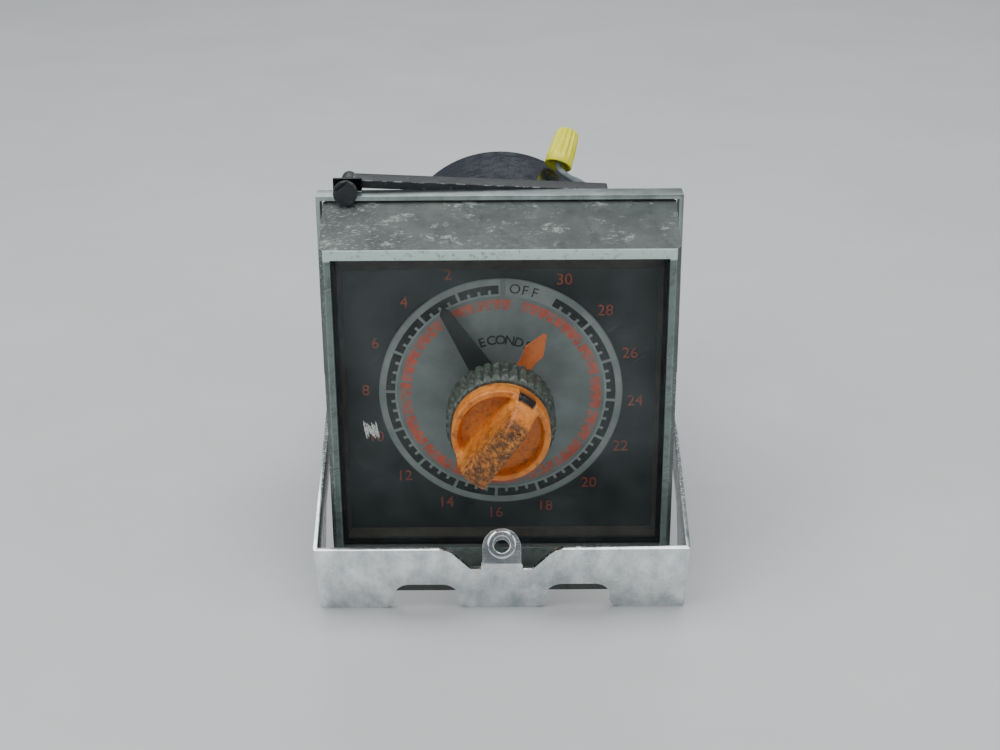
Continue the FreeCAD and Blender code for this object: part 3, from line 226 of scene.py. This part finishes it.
def knob_colour(tree):
    """Orange phenolic: grimy, scored brown along the grip's crest, chipped, its notch blackened, its dish a
    darker orange in painted shade.
    """
    tone = cloud(tree, 6.0, [(0.3, "#c4671a"), (0.5, "#e0842e"), (0.72, "#f09c48")], 8.0, 0.7)
    grime = product(tree, cloud(tree, 2.6, [(0.5, 0.0), (0.64, 1.0)], 9.0, 0.78, shift=(5, 2, 1)), 0.7)
    # Painted shade: the dish is tinted a darker orange where it sinks below the rim.
    dish = product(tree, node(tree, "Attribute", attribute_name="dish").outputs["Fac"], 0.25)
    scored = product(tree, node(tree, "Attribute", attribute_name="crest").outputs["Fac"],
                     cloud(tree, 1.3, [(0.38, 0.0), (0.54, 1.0)], 9.0, 0.85, (1.0, 1.0, 0.6), 39.0), 0.95)
    chips = cloud(tree, 2.2, [(0.67, 0.0), (0.69, 1.0)], 5.0, 0.6, shift=(2, 8, 4))
    notch = node(tree, "Attribute", attribute_name="notch").outputs["Fac"]
    return coats(tree, tone, (dish, "#a95412"), (grime, "#6f4219"), (scored, "#3b2d1c"), (chips, "#1c140d"),
                 (notch, "#0b0a09"))


def ink(name, low, high, worn, amount=0.6):
    """Screen-printed ink, rubbed thin in places."""
    return finish(name, lambda tree: coats(
        tree, cloud(tree, 5.0, [(0.35, low), (0.65, high)]),
        (product(tree, cloud(tree, 3.0, [(0.46, 0.0), (0.6, 1.0)], 9.0, 0.8), amount), worn)), Roughness=0.6)


def film(tree):
    """How far the window hides what is behind it: an even haze, finger marks, fine rubs and specks."""
    haze = cloud(tree, 26.0, [(0.35, 0.01), (0.7, 0.09)], 8.0)
    rubs = product(tree, strokes(tree, 0.3, 35.0, 0.36), 0.1)
    specks = product(tree, cloud(tree, 0.9, [(0.72, 0.0), (0.75, 1.0)], 2.0), 0.12)
    rubbed = node(tree, "Math", {0: haze, 1: rubs}, operation="ADD")
    return node(tree, "Math", {0: rubbed, 1: specks}, operation="ADD")


def window_acrylic():
    """Clear acrylic sheet, handled until it is slightly hazy."""
    made = finish("scuffed_clear_acrylic",
                  lambda tree: cloud(tree, 20.0, [(0.3, "#8f9d9e"), (0.7, "#aab7b7")]),
                  Roughness=0.16, IOR=1.49)
    tree = made.node_tree
    plug(tree, film(tree), tree.nodes["Principled BSDF"].inputs["Alpha"])
    return made


def knurl_colour(tree):
    """Dark green-grey moulding with pale dust on its crests."""
    dust = product(tree, cloud(tree, 1.6, [(0.5, 0.0), (0.62, 1.0)], 8.0, 0.8), 0.5)
    return coats(tree, cloud(tree, 4.0, [(0.3, "#28312d"), (0.7, "#465049")]), (dust, "#8d998f"))


FINISH = {
    # Enamel: a satin grey whose gloss varies in patches.
    "bezel_paint": finish("grey_stoved_enamel", bezel_colour,
                          lambda tree: cloud(tree, 8.0, [(0.3, 0.36), (0.7, 0.6)]),
                          lambda tree: cloud(tree, 0.9, rough=0.7), 0.3, 0.07),
    # The same paint worn through on its edges, which catch the light as pale metal.
    "enamel_edge": finish("enamel_rubbed_to_metal", worn_edge("#4d5654", "#bfd1cb", 0.55, True),
                          Roughness=0.42, Metallic=0.2),
    # Black enamel that stays black on its edges but for short grey rubs.
    "case_edge": finish("black_enamel_rubbed_edge", worn_edge("#15181b", "#7a8288", 0.1), Roughness=0.4),
    # Painted sheet: dull, with settled dust; its dark brown is painted shade.
    "inner_wall": plain("dusty_brown_wall_in_painted_shade", "#2b2822", "#47433a", (0.5, 0.7), 0.8, 5.0, "#4a4a42"),
    "window_acrylic": window_acrylic(),
    # Rubber: near black, with no sharp highlight.
    "black_rubber": plain("black_rubber", "#0d0e0f", "#1b1c1d", (0.6, 0.8)),
    # Matt dial enamel: the dark ground that the numbers stand out from.
    "dial_black": plain("matt_black_dial_enamel", "#14191b", "#272e31", (0.5, 0.7), 0.5, 14.0, strength=0.03),
    # Printing in grey, light and dark: flat tones with hardly any gloss.
    "dial_grey": plain("printed_grey_disc", "#66726f", "#828e8b", (0.5, 0.65), 0.5, 10.0),
    "track_grey": plain("printed_light_track", "#7d8984", "#99a5a0", (0.5, 0.65), 0.5, 8.0),
    # Inks that let their ground show where they are rubbed thin.
    "ink_black": ink("black_printing_ink", "#0a0d0e", "#14181a", "#333b3b", 0.5),
    "ink_orange": ink("orange_printing_ink", "#b84a32", "#d8664c", "#7f7f79", 0.9),
    "ink_number": ink("orange_number_ink", "#94402a", "#b4553b", "#3b2c27", 0.6),
    # Dried paper: chalky white with no shine.
    "residue": plain("dried_paper_residue", "#a9aeab", "#e2e5e2", (0.7, 0.9), 0.4, 0.8),
    # Matt paint: the black hand reads as a silhouette, the orange one is flecked brown.
    "hand_black": plain("matt_black_hand_paint", "#030404", "#0a0b0c", (0.6, 0.75), worn="#15181a"),
    "hand_orange": plain("orange_hand_paint", "#c55b18", "#e27a28", (0.45, 0.6), worn="#8a5a34"),
    # Phenolic: a soft gloss broken up by fine pitting.
    "knob_orange": finish("grimy_orange_phenolic", knob_colour,
                          lambda tree: cloud(tree, 3.0, [(0.35, 0.34), (0.7, 0.62)]),
                          lambda tree: cloud(tree, 1.3, detail=9.0, rough=0.75), 0.45, 0.16),
    # Moulding: dark green-grey, dusty on its ridges.
    "ring_dark": finish("dusty_dark_moulding", knurl_colour,
                        lambda tree: cloud(tree, 2.0, [(0.3, 0.4), (0.7, 0.62)]),
                        lambda tree: cloud(tree, 0.8), 0.3, 0.05),
    # Metals of the mechanism: each its own tone, with a soft machined gloss.
    "bright_steel": plain("turned_bright_steel", "#8b8f91", "#b9bdbf", (0.25, 0.4), Metallic=1.0),
    "bright_brass": plain("machined_brass", "#a5823c", "#c9a75a", (0.28, 0.42), Metallic=1.0),
    "pinion_steel": plain("hardened_steel", "#6d7072", "#8d9092", (0.3, 0.45), Metallic=1.0),
    # Rolled aluminium: fine lines along the sheet.
    "mechanism_plate": plain("stamped_aluminium", "#9a9c9c", "#bcbebe", (0.34, 0.5), 0.5, 6.0, None,
                             (0.05, 1, 1), Metallic=1.0),
    # Fibre: brown and dry.
    "clutch_lining": plain("moulded_fibre", "#54402c", "#6e553c", (0.6, 0.8)),
    # Enamelled wire: copper with fine lines where its turns lie.
    "coil_winding": plain("enamelled_copper_wire", "#8a4a22", "#b06a38", (0.3, 0.42), 0.4, 3.0, None,
                          (1, 12, 1), Metallic=1.0),
    # Motor enamel and black phenolic: dark, the enamel flecked with grey.
    "motor_paint": plain("dark_grey_motor_enamel", "#26292b", "#34383a", (0.4, 0.52), worn="#707476"),
    "switch_black": plain("black_phenolic", "#141516", "#222425", (0.34, 0.5)),
    # Red plastic with a low gloss.
    "switch_button": plain("red_button_plastic", "#8c1f18", "#a82c22", (0.34, 0.5)),
    # Tinned metal: pale grey with a soft gloss.
    "tin_plate": plain("tinned_contact_metal", "#9b9d98", "#c2c4bf", (0.3, 0.44), Metallic=1.0),
    # Case enamel: black with grey flecks where it is worn through.
    "case_paint": plain("black_case_enamel", "#101317", "#1d2125", (0.34, 0.52), 0.7, 7.0, "#5b6166"),
    # Gloss enamel: blue-black, shiny in places and dull in others.
    "can_paint": finish("dusty_gloss_enamel", can_colour,
                        lambda tree: cloud(tree, 4.0, [(0.4, 0.14), (0.75, 0.5)]),
                        lambda tree: cloud(tree, 18.0, detail=3.0), 0.1, 0.2, Specular_IOR_Level=0.3),
    # Zinc plate: mid grey with a soft gloss.
    "nut_plate": plain("zinc_plate", "#83888b", "#a9afb2", (0.32, 0.48), Metallic=1.0),
    # Plated sheet: the yoke dulled, near black in patches low down and in painted shade along its top, the
    # bail bright, with a brighter edge.
    "yoke_plate": plated("dulled_bright_plate", "#8b9794", "#b9c4c2", (0.26, 0.55), 0.36, 93.0),
    "bail_edge": plain("polished_nickel_edge", "#e9eef0", "#ffffff", (0.12, 0.3), Metallic=1.0),
    "bail_plate": plated("bright_nickel_plate", "#bcc5c8", "#ffffff", (0.1, 0.4), 0.4),
    # Black oxide: dark steel with pale rubs.
    "clamp_black": plain("black_oxide", "#171a1d", "#2b3033", (0.4, 0.56), 0.7, 5.0, "#6d757a"),
    # PVC: an even grey with a low gloss.
    "lead_grey": plain("grey_pvc_insulation", "#727c83", "#97a2a8", (0.34, 0.5)),
    # Thermoplastic: clean, strong yellow with a soft gloss.
    "nut_yellow": plain("yellow_thermoplastic", "#ece81a", "#fdf94a", (0.3, 0.42)),
}


# Making pieces -------------------------------------------------------------------------

def piece(name, points, faces, finish_name, body="frame", smooth=True):
    """A mesh from arrays of points and of faces, riding on its body."""
    mesh = bpy.data.meshes.new(name)
    mesh.from_pydata(np.asarray(points, float).reshape(-1, 3), [], [list(map(int, face)) for face in faces])
    mesh.update()
    return place(bpy.data.objects.new(name, mesh), finish_name, body, smooth)


def place(made, finish_name, body="frame", smooth=True):
    """Put a finished mesh object in the scene, with its finish, on its body."""
    if made.name not in bpy.context.scene.collection.objects:
        bpy.context.scene.collection.objects.link(made)
    made.data.materials.clear()
    made.data.materials.append(FINISH[finish_name])
    made.data.polygons.foreach_set("use_smooth", np.full(len(made.data.polygons), smooth))
    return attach(made, body)


def grid_faces(rows, columns, around=True):
    """Quads over a grid of points held row after row; around closes each row on itself."""
    last = columns if around else columns - 1
    row, column = np.meshgrid(np.arange(rows - 1), np.arange(last), indexing="ij")
    after = (column + 1) % columns
    return np.stack([row * columns + column, row * columns + after, (row + 1) * columns + after,
                     (row + 1) * columns + column], axis=-1).reshape(-1, 4)


def strip_faces(count, steps):
    """Quads of count strips held one after another, each of two rows of steps points."""
    strip = grid_faces(2, steps, around=False)[:, ::-1]
    return (strip[None] + (2 * steps * np.arange(count))[:, None, None]).reshape(-1, 4)


def turned(name, profile, centre, axis, finish_name, body="frame", flutes=0, depth=0.0, sides=96):
    """A profile of (radius, distance along the axis) in millimetres, carried round the axis from centre.

    With flutes, the radius shrinks by depth times (1 - cos(flutes * angle)) / 2 at each angle. A third number
    in a profile point is the share of that depth there."""
    along = np.array(axis, float) / np.linalg.norm(axis)
    side = np.cross(along, (0.0, 0.0, 1.0) if abs(along[2]) < 0.9 else (1.0, 0.0, 0.0))
    side /= np.linalg.norm(side)
    other = np.cross(along, side)
    rows = np.array([(*point, 1.0)[:3] for point in profile], float)
    radius, distance, fluted = rows[:, :1], rows[:, 1:2], rows[:, 2:]
    angle = np.linspace(0, 2 * np.pi, sides, endpoint=False)[None, :]
    grown = np.maximum(radius - fluted * depth * (1 - np.cos(flutes * angle)) / 2, 0.0)
    ahead = np.broadcast_to(distance, grown.shape)
    points = (np.array(centre) + MM * (grown * np.cos(angle))[..., None] * side
              + MM * (grown * np.sin(angle))[..., None] * other + MM * ahead[..., None] * along)
    made = piece(name, points, grid_faces(len(profile), sides), finish_name, body)
    return mended(made)


def mended(made):
    """Merge doubled points, drop faces of no size and turn every face outwards."""
    work = bmesh.new()
    work.from_mesh(made.data)
    bmesh.ops.remove_doubles(work, verts=work.verts, dist=0.004 * MM)
    bmesh.ops.dissolve_degenerate(work, edges=work.edges, dist=0.001 * MM)
    bmesh.ops.recalc_face_normals(work, faces=work.faces)
    work.to_mesh(made.data)
    work.free()
    return made


def softened(source, width, finish_name, body="frame", angle=30.0, segments=3, edge=None):
    """A copy of a CAD part, its sharp edges rounded by width millimetres and perhaps in their own finish."""
    made = bpy.data.objects.new("soft_" + source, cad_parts[source].data.copy())
    work = bmesh.new()
    work.from_mesh(made.data)
    bmesh.ops.remove_doubles(work, verts=work.verts, dist=0.002 * MM)
    bmesh.ops.dissolve_limit(work, angle_limit=math.radians(1.0), verts=work.verts, edges=work.edges)
    work.to_mesh(made.data)
    work.free()
    place(made, finish_name, body)
    round_over = made.modifiers.new("rounded", "BEVEL")
    round_over.width = width * MM
    round_over.segments = segments
    round_over.limit_method = "ANGLE"
    round_over.angle_limit = math.radians(angle)
    round_over.harden_normals = True
    round_over.use_clamp_overlap = True
    if edge:
        made.data.materials.append(FINISH[edge])
        round_over.material = 1
    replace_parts(made, source)
    return made


# Every CAD part takes the finish of its slot -------------------------------------------

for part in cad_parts.values():
    slot = part.data.materials[0].name.split(".")[0]
    part.data.materials.clear()
    part.data.materials.append(FINISH[slot])

softened("bezel", 0.7, "bezel_paint", edge="enamel_edge")
softened("case_shell", 0.5, "case_paint", edge="case_edge")
softened("frame_yoke", 0.25, "yoke_plate")
softened("bail", 0.3, "bail_plate", "bail", edge="bail_edge")
softened("clamp_strap", 0.3, "clamp_black", edge="case_edge")
softened("clamp_screw", 0.25, "clamp_black", edge="case_edge")
softened("terminal_block", 0.4, "switch_black")
softened("bail_pivots", 0.3, "nut_plate")
softened("lock_ring", 0.25, "ring_dark", "clamp_ring", 25.0, 2)
softened("setting_hand", 0.15, "hand_orange", "setting")
softened("progress_hand", 0.15, "hand_black", "progress")


# Printing on the dial ------------------------------------------------------------------

SECOND = math.radians(332.4 / 30)   # a second's turn of the hand, counter-clockwise from the top
INK_STANDS = 0.03 * MM              # ink lies this far off what it is printed on


def printed_blocks(name, spans, inner, outer, finish_name, lift=1.0):
    """Flat ring sectors on the face, each a strip over a span of seconds from its inner to its outer radius.

    A point lies at x = -r sin(turn), z = r cos(turn) from the centre, so seconds run counter-clockwise."""
    steps = 7
    spans = np.array(spans, float).reshape(-1, 2) * SECOND
    inner, outer = (np.broadcast_to(np.asarray(r, float), (len(spans),)) for r in (inner, outer))
    turn = spans[:, :1] + (spans[:, 1:] - spans[:, :1]) * np.linspace(0, 1, steps)[None, :]
    radius = MM * np.stack([inner, outer], axis=1)[:, :, None]
    x = -radius * np.sin(turn)[:, None, :]
    z = radius * np.cos(turn)[:, None, :] + DIAL_Z
    points = np.stack([x, np.full(x.shape, FACE_FRONT - lift * INK_STANDS), z], axis=-1)
    return piece(name, points, strip_faces(len(spans), steps), finish_name, smooth=False)


def ring_of_blocks(name, first, last, inner, middle, outer, finish_name):
    """Blocks two seconds long with gaps between, solid outside and cut into half-second teeth inside."""
    trim = 0.07   # seconds left bare at each end of a block
    starts = np.arange(first, last - 1.9, 2.0)
    whole = np.stack([starts + trim, starts + 2.0 - trim], axis=1)
    halves = np.arange(first, last - 0.4, 0.5)
    teeth = np.stack([halves + trim, halves + 0.5 - trim], axis=1)
    spans = np.concatenate([whole, teeth])
    inside = np.concatenate([np.full(len(whole), middle), np.full(len(teeth), inner)])
    outside = np.concatenate([np.full(len(whole), outer), np.full(len(teeth), middle)])
    return printed_blocks(name, spans, inside, outside, finish_name, 2.0)


TYPE_SIZE = 1.42    # text size for a height of 1: digits and capitals come out 1 to 3 per cent under it


def lettering(name, words, radius, turn, tall, depth, finish_name, upright=True, weight=0.0):
    """Characters centred on a point of the dial at a turn in degrees, or each set square to its circle."""
    parts = []
    letters = [(words, turn)] if upright else [
        (letter, turn - (index - (len(words) - 1) / 2) * math.degrees(0.98 * tall / radius))
        for index, letter in enumerate(words)]
    for letter, at in letters:
        text = bpy.data.curves.new(name, "FONT")
        text.body = letter
        text.size = tall * TYPE_SIZE * MM
        text.align_x = "CENTER"
        text.align_y = "CENTER"
        text.offset = weight * MM
        text.resolution_u = 3
        holder = bpy.data.objects.new(name, text)
        bpy.context.scene.collection.objects.link(holder)
        bpy.context.view_layer.update()
        mesh = bpy.data.meshes.new_from_object(holder)
        flat = np.empty(len(mesh.vertices) * 3)
        mesh.vertices.foreach_get("co", flat)
        flat = flat.reshape(-1, 3)
        angle = math.radians(at)
        lean = 0.0 if upright else angle
        x = flat[:, 0] * math.cos(lean) - flat[:, 1] * math.sin(lean) - radius * MM * math.sin(angle)
        z = flat[:, 0] * math.sin(lean) + flat[:, 1] * math.cos(lean) + radius * MM * math.cos(angle) + DIAL_Z
        faces = [tuple(polygon.vertices) for polygon in mesh.polygons]
        parts.append((np.stack([x, np.full(len(x), depth), z], axis=1), faces))
        bpy.data.objects.remove(holder)
        bpy.data.meshes.remove(mesh)
    starts = np.cumsum([0] + [len(points) for points, _ in parts])
    faces = [[v + start for v in face] for start, (_, own) in zip(starts, parts) for face in own]
    return piece(name, np.concatenate([points for points, _ in parts]), faces, finish_name, smooth=False)


# The track is one light ring: 65 strips, each lapping the next a little.
laps = np.arange(65) * 0.5
printed_blocks("light_track", np.stack([laps, laps + 0.51], 1) * 0.992, 29.7, 34.6, "track_grey")
ring_of_blocks("black_scale_blocks", 0, 30, 30.3, 31.5, 32.9, "ink_black")
ring_of_blocks("orange_scale_blocks", -0.6, 31.4, 25.7, 26.9, 28.7, "ink_orange")
for number in range(2, 31, 2):
    lettering(f"number_{number}", str(number), 38.7, number * math.degrees(SECOND), 3.3,
              PLATE_FRONT - INK_STANDS, "ink_number")
lettering("word_off", "OFF", 31.9, -12.5, 2.9, FACE_FRONT - 2 * INK_STANDS, "ink_black", False)
lettering("word_seconds", "SECONDS", 16.4, 0.0, 2.7, FACE_FRONT - 2 * INK_STANDS, "ink_black", False, 0.08)


# Knob ----------------------------------------------------------------------------------

def eased(value, low, high):
    """0 below low, 1 above high, and 3t^2 - 2t^3 between them."""
    share = np.clip((value - low) / (high - low), 0, 1)
    return share * share * (3 - 2 * share)


# Knob sizes in millimetres. Its heights are measured from its back.
KNOB_BACK = 12.0     # in front of the bezel's front plane
KNOB_RADIUS = 13.5
ROUND_FROM = 12.9    # the rim is rounded over outside this radius
RIM_HIGH = 5.7
DISH_DEEP = 2.5
CREST_HIGH = 14.7
GRIP_LIES = math.radians(51)     # the grip's line, counted from the right towards the top
NOTCH_LIES = math.radians(57)
NOTCH_HALF = math.radians(11)    # half of the notch's width, seen from the axis
NOTCH_DEEP = 1.3


def knob():
    """A disc whose front stands up by the higher of two heights, on rings of points round its axis.

    The disc is flat at its rim and eases down into a dish between radii of 11.9 and 10.7 mm. The grip stands
    at its crest's height along its line, drops 7 mm towards its upper end and 2.4 mm at its lower end, and
    falls off across itself from a crest to a foot 1.7 or 2.7 mm further out. The crest's half width goes from
    3.6 mm at the lower end to 2.4 mm at the upper. The rim is rounded over."""
    rounding = KNOB_RADIUS - ROUND_FROM
    outer = ROUND_FROM + rounding * np.sin(np.linspace(0.2, np.pi / 2, 8))
    radii = np.concatenate([np.linspace(0, ROUND_FROM, 84), outer])
    angles = np.linspace(0, 2 * np.pi, 288, endpoint=False)
    r, a = np.meshgrid(radii, angles, indexing="ij")
    x, z = r * np.cos(a), r * np.sin(a)
    s = x * math.cos(GRIP_LIES) + z * math.sin(GRIP_LIES)
    t = -x * math.sin(GRIP_LIES) + z * math.cos(GRIP_LIES)
    in_dish = 1 - eased(r, 10.7, 11.9)
    disc = RIM_HIGH - DISH_DEEP * in_dish
    crest = 3.0 - 0.6 * np.clip(s / 13, -1, 1)
    foot = 2.7 - 1.0 * (t < 0)
    across = eased(crest + foot - np.abs(t), 0, foot) ** 0.8
    crowned = 0.35 * (t / crest) ** 2 * (across > 0.9)
    lift = CREST_HIGH - 7.0 * eased(s, 6.0, 13.4) - 2.4 * eased(-s, 11.2, 13.6) ** 2 - crowned
    notch = eased(r, 12.1, 12.3) * (np.abs(a - NOTCH_LIES) < NOTCH_HALF)
    front = np.maximum(disc, disc + (lift - disc) * across) - NOTCH_DEEP * notch
    over = np.clip((r - ROUND_FROM) / rounding, 0, 1)
    front = front - 0.7 * (1 - np.sqrt(1 - over ** 2))
    level = np.zeros(len(angles))
    sides = [(KNOB_RADIUS, front[-1] - 0.25), (KNOB_RADIUS, level + 0.3), (13.2, level), (0.0, level)]
    x = np.vstack([x] + [q * np.cos(angles) for q, _ in sides])
    z = np.vstack([z] + [q * np.sin(angles) for q, _ in sides])
    deep = np.vstack([front] + [h for _, h in sides])
    points = np.stack([x * MM, FRONT_Y - (KNOB_BACK + deep) * MM, z * MM + DIAL_Z], axis=-1)
    made = piece("setting_knob_moulding", points, grid_faces(len(x), len(angles)), "knob_orange", "setting")
    plain_rows = np.zeros((len(sides) - 1, len(angles)))
    marks = {"crest": across * eased(lift, 12.0, 13.5), "dish": in_dish * (1 - across), "notch": notch}
    for name, share in marks.items():
        layer = made.data.attributes.new(name, "FLOAT", "POINT")
        layer.data.foreach_set("value", np.vstack([share, share[-1:], plain_rows]).ravel())
    mended(made)
    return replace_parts(made, "setting_knob")


knob()


# Painted shade inside the bezel and behind the visor, and the yoke's flush screws --------

def surround():
    """Four sloping walls: a rectangle at the window's back joined to a smaller one at the dial plate, dark as
    painted shade.
    """
    outer = [(-46.2, 4.05, 14.0), (46.2, 4.05, 14.0), (46.2, 4.05, 102.4), (-46.2, 4.05, 102.4)]
    inner = [(-44.3, 11.9, 14.6), (44.3, 11.9, 14.6), (44.3, 11.9, 95.4), (-44.3, 11.9, 95.4)]
    points = np.array(outer + inner) * MM + (0, FRONT_Y, 0)
    faces = [(i, (i + 1) % 4, 4 + (i + 1) % 4, 4 + i) for i in range(4)]
    return piece("sloping_dial_surround", points, faces, "inner_wall", smooth=False)


def felt_strip():
    """A bar between two corners: every mix of the near and far value on each axis, joined as six faces. It is
    dark: painted shade in the slit behind the visor.
    """
    low, high = np.array([(-48.6, 18.6, 112.9), (48.6, 19.8, 113.78)]) * MM + (0, FRONT_Y, 0)
    pick = np.array([(i & 1, i >> 1 & 1, i >> 2) for i in range(8)])
    faces = [(0, 1, 5, 4), (1, 3, 7, 5), (3, 2, 6, 7), (2, 0, 4, 6), (2, 3, 1, 0), (4, 5, 7, 6)]
    return piece("black_painted_shade_strip", np.where(pick, high, low), faces, "inner_wall", smooth=False)


# A dark sheet that paints the shade round the dial plate.
surround()
# Painted shade: a dark strip where the slit behind the visor lies in shade.
felt_strip()   # it closes the slit behind the visor
FLUSH_SCREW = [   # radius, distance outwards
    (0.0, -3.5), (1.2, -3.5), (1.2, -1.0), (2.1, 0.0), (1.9, 0.12), (0.0, 0.12)]
for side, label in ((-1, "left"), (1, "right")):
    screw = turned(f"flush_yoke_screw_{label}", FLUSH_SCREW,
                   (side * 0.051, FRONT_Y + 0.0225, 0.084), (side, 0, 0), "clamp_black", sides=32)
    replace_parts(screw, "yoke_screws")


# The bail's tab ------------------------------------------------------------------------

TAB_LEAN = math.radians(27.8)     # past vertical, back towards the bezel
HOLE = np.array((0.0, -0.07505, 0.0232))
TAB_OUT = np.array((0.0, -math.cos(TAB_LEAN), math.sin(TAB_LEAN)))
turned("tab_washer_ring", [(2.25, 0.55), (2.3, 0.85), (2.6, 0.98), (3.3, 0.98), (3.9, 0.85), (4.2, 0.55)],
       HOLE, TAB_OUT, "bail_plate", "bail")


# Paper left stuck on the window --------------------------------------------------------

def residue_streaks(name, count=7, steps=14):
    """Torn slivers side by side, each down a slanted line, as wide as a half sine times a ragged factor."""
    draw = np.random.default_rng(4)
    along = np.linspace(0, 1, steps)[None, :]
    first = np.linspace(-1.7, 1.7, count)[:, None]
    centre = first + 0.9 * (along - 0.5) + draw.uniform(-0.12, 0.12, (count, steps))
    long = draw.uniform(3.4, 6.0, (count, 1))
    fall = -(along - 0.5) * long + draw.uniform(-0.5, 0.5, (count, 1))
    half = 0.34 * np.sin(np.pi * along) ** 0.5 * draw.uniform(0.35, 1.0, (count, steps))
    x = np.stack([centre - half, centre + half], axis=1) * MM - 0.0367
    z = np.stack([fall, fall], axis=1) * MM + 0.0512
    points = np.stack([x, np.full(x.shape, WINDOW_FRONT - 0.04 * MM), z], axis=-1)
    return piece(name, points, strip_faces(count, steps), "residue", smooth=False)


residue_streaks("paper_residue")


# Lead and its wire nut -----------------------------------------------------------------

NUT_AXIS = np.array((3.8, 8.0, 9.9))
ROUTE = np.array([   # across, behind the bezel's front, and up, in millimetres
    (38.9, 136.0, 55.6), (42.9, 136.1, 55.5), (46.7, 136.3, 57.0), (49.2, 136.5, 60.2), (49.9, 136.8, 64.2),
    (48.6, 137.0, 68.2), (45.6, 137.1, 71.6), (39.6, 136.9, 76.4), (32.4, 135.8, 81.6), (27.0, 132.4, 86.0),
    (24.6, 127.4, 88.0), (21.7, 127.3, 90.3), (20.1, 129.9, 91.7), (21.1, 131.8, 94.1)])
WAY = ROUTE * MM + (0.0, FRONT_Y, 0.0)
curve = bpy.data.curves.new("lead", "CURVE")
curve.dimensions = "3D"
curve.bevel_depth = 1.05 * MM
curve.bevel_resolution = 5
curve.use_fill_caps = True
spline = curve.splines.new("NURBS")
spline.points.add(len(WAY) - 1)
spline.points.foreach_set("co", np.column_stack([WAY, np.ones(len(WAY))]).ravel())
spline.order_u = 3
spline.use_endpoint_u = True
spline.resolution_u = 8
lead = bpy.data.objects.new("lead", curve)
bpy.context.scene.collection.objects.link(lead)
curve.materials.append(FINISH["lead_grey"])
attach(lead, "frame")
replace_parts(lead, "lead_wire")

# The skirt is smooth, the body fluted down to a rounded, closed end.
NUT_MOUTH = WAY[-1] - 3.0 * MM * NUT_AXIS / np.linalg.norm(NUT_AXIS)
NUT_PROFILE = [   # radius, distance from the mouth, share of the flutes' depth
    (1.1, 3.0, 0), (4.1, 0.5, 0), (4.3, 0.05, 0), (4.6, 0.0, 0), (4.8, 0.25, 0), (4.8, 2.4, 0),
    (4.75, 3.0, 0.3), (4.7, 4.2, 1), (4.5, 7.5, 1), (4.25, 10.4, 1), (3.95, 12.4, 0.9), (3.3, 13.5, 0.6),
    (2.0, 13.95, 0.1), (0.0, 14.0, 0)]
nut = turned("twist_on_wire_nut", NUT_PROFILE, NUT_MOUTH, NUT_AXIS, "nut_yellow", flutes=14, depth=0.75,
             sides=112)
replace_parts(nut, "wire_nut")


# Camera, light and floor ---------------------------------------------------------------

camera = bpy.data.objects.new("camera", bpy.data.cameras.new("camera"))
bpy.context.scene.collection.objects.link(camera)
camera.data.lens = 58.46
camera.data.sensor_width = 36
aim = Matrix.Rotation(math.radians(67), 3, "X") @ Matrix.Rotation(math.radians(-0.35), 3, "Z")
camera.location = (-0.0002, -0.47565, 0.2448)
camera.rotation_euler = aim.to_euler()
bpy.context.scene.camera = camera

floor = bpy.data.meshes.new("floor")
floor.from_pydata([(-4, -4, 0), (4, -4, 0), (4, 4, 0), (-4, 4, 0)], [], [(0, 1, 2, 3)])
ground = bpy.data.objects.new("floor", floor)
bpy.context.scene.collection.objects.link(ground)
floor.materials.append(plain("pale_floor", "#d2d5d6", "#dadcdd", (0.5, 0.6), 8.0, 90.0))

STUDIO = [   # name, place, turn in degrees, width and depth in metres, watts
    ("overhead", (-0.1, -0.25, 1.3), (12, 0, 0), (1.6, 1.2), 18.0),
    ("left_window", (-1.1, -0.7, 0.8), (55, 0, -58), (1.0, 1.0), 5.5),
    ("right_fill", (1.1, -0.6, 0.6), (62, 0, 60), (0.9, 0.9), 2.5),
    ("back_rim", (0.1, 1.2, 0.9), (-52, 0, 0), (1.2, 0.6), 4.0),
]
lamps = []
for name, where, turn, (wide, deep), watts in STUDIO:
    lamp = bpy.data.lights.new(name, "AREA")
    lamp.shape = "RECTANGLE"
    lamp.size = wide
    lamp.size_y = deep
    lamp.energy = watts
    lamps.append(bpy.data.objects.new(name, lamp))
    lamps[-1].location = where
    lamps[-1].rotation_euler = [math.radians(a) for a in turn]
    bpy.context.scene.collection.objects.link(lamps[-1])

world = bpy.data.worlds.new("studio")
world.use_nodes = True
world.node_tree.nodes["Background"].inputs["Color"].default_value = linear("#dfe6ea")
world.node_tree.nodes["Background"].inputs["Strength"].default_value = 0.28
bpy.context.scene.world = world

bpy.context.view_layer.update()
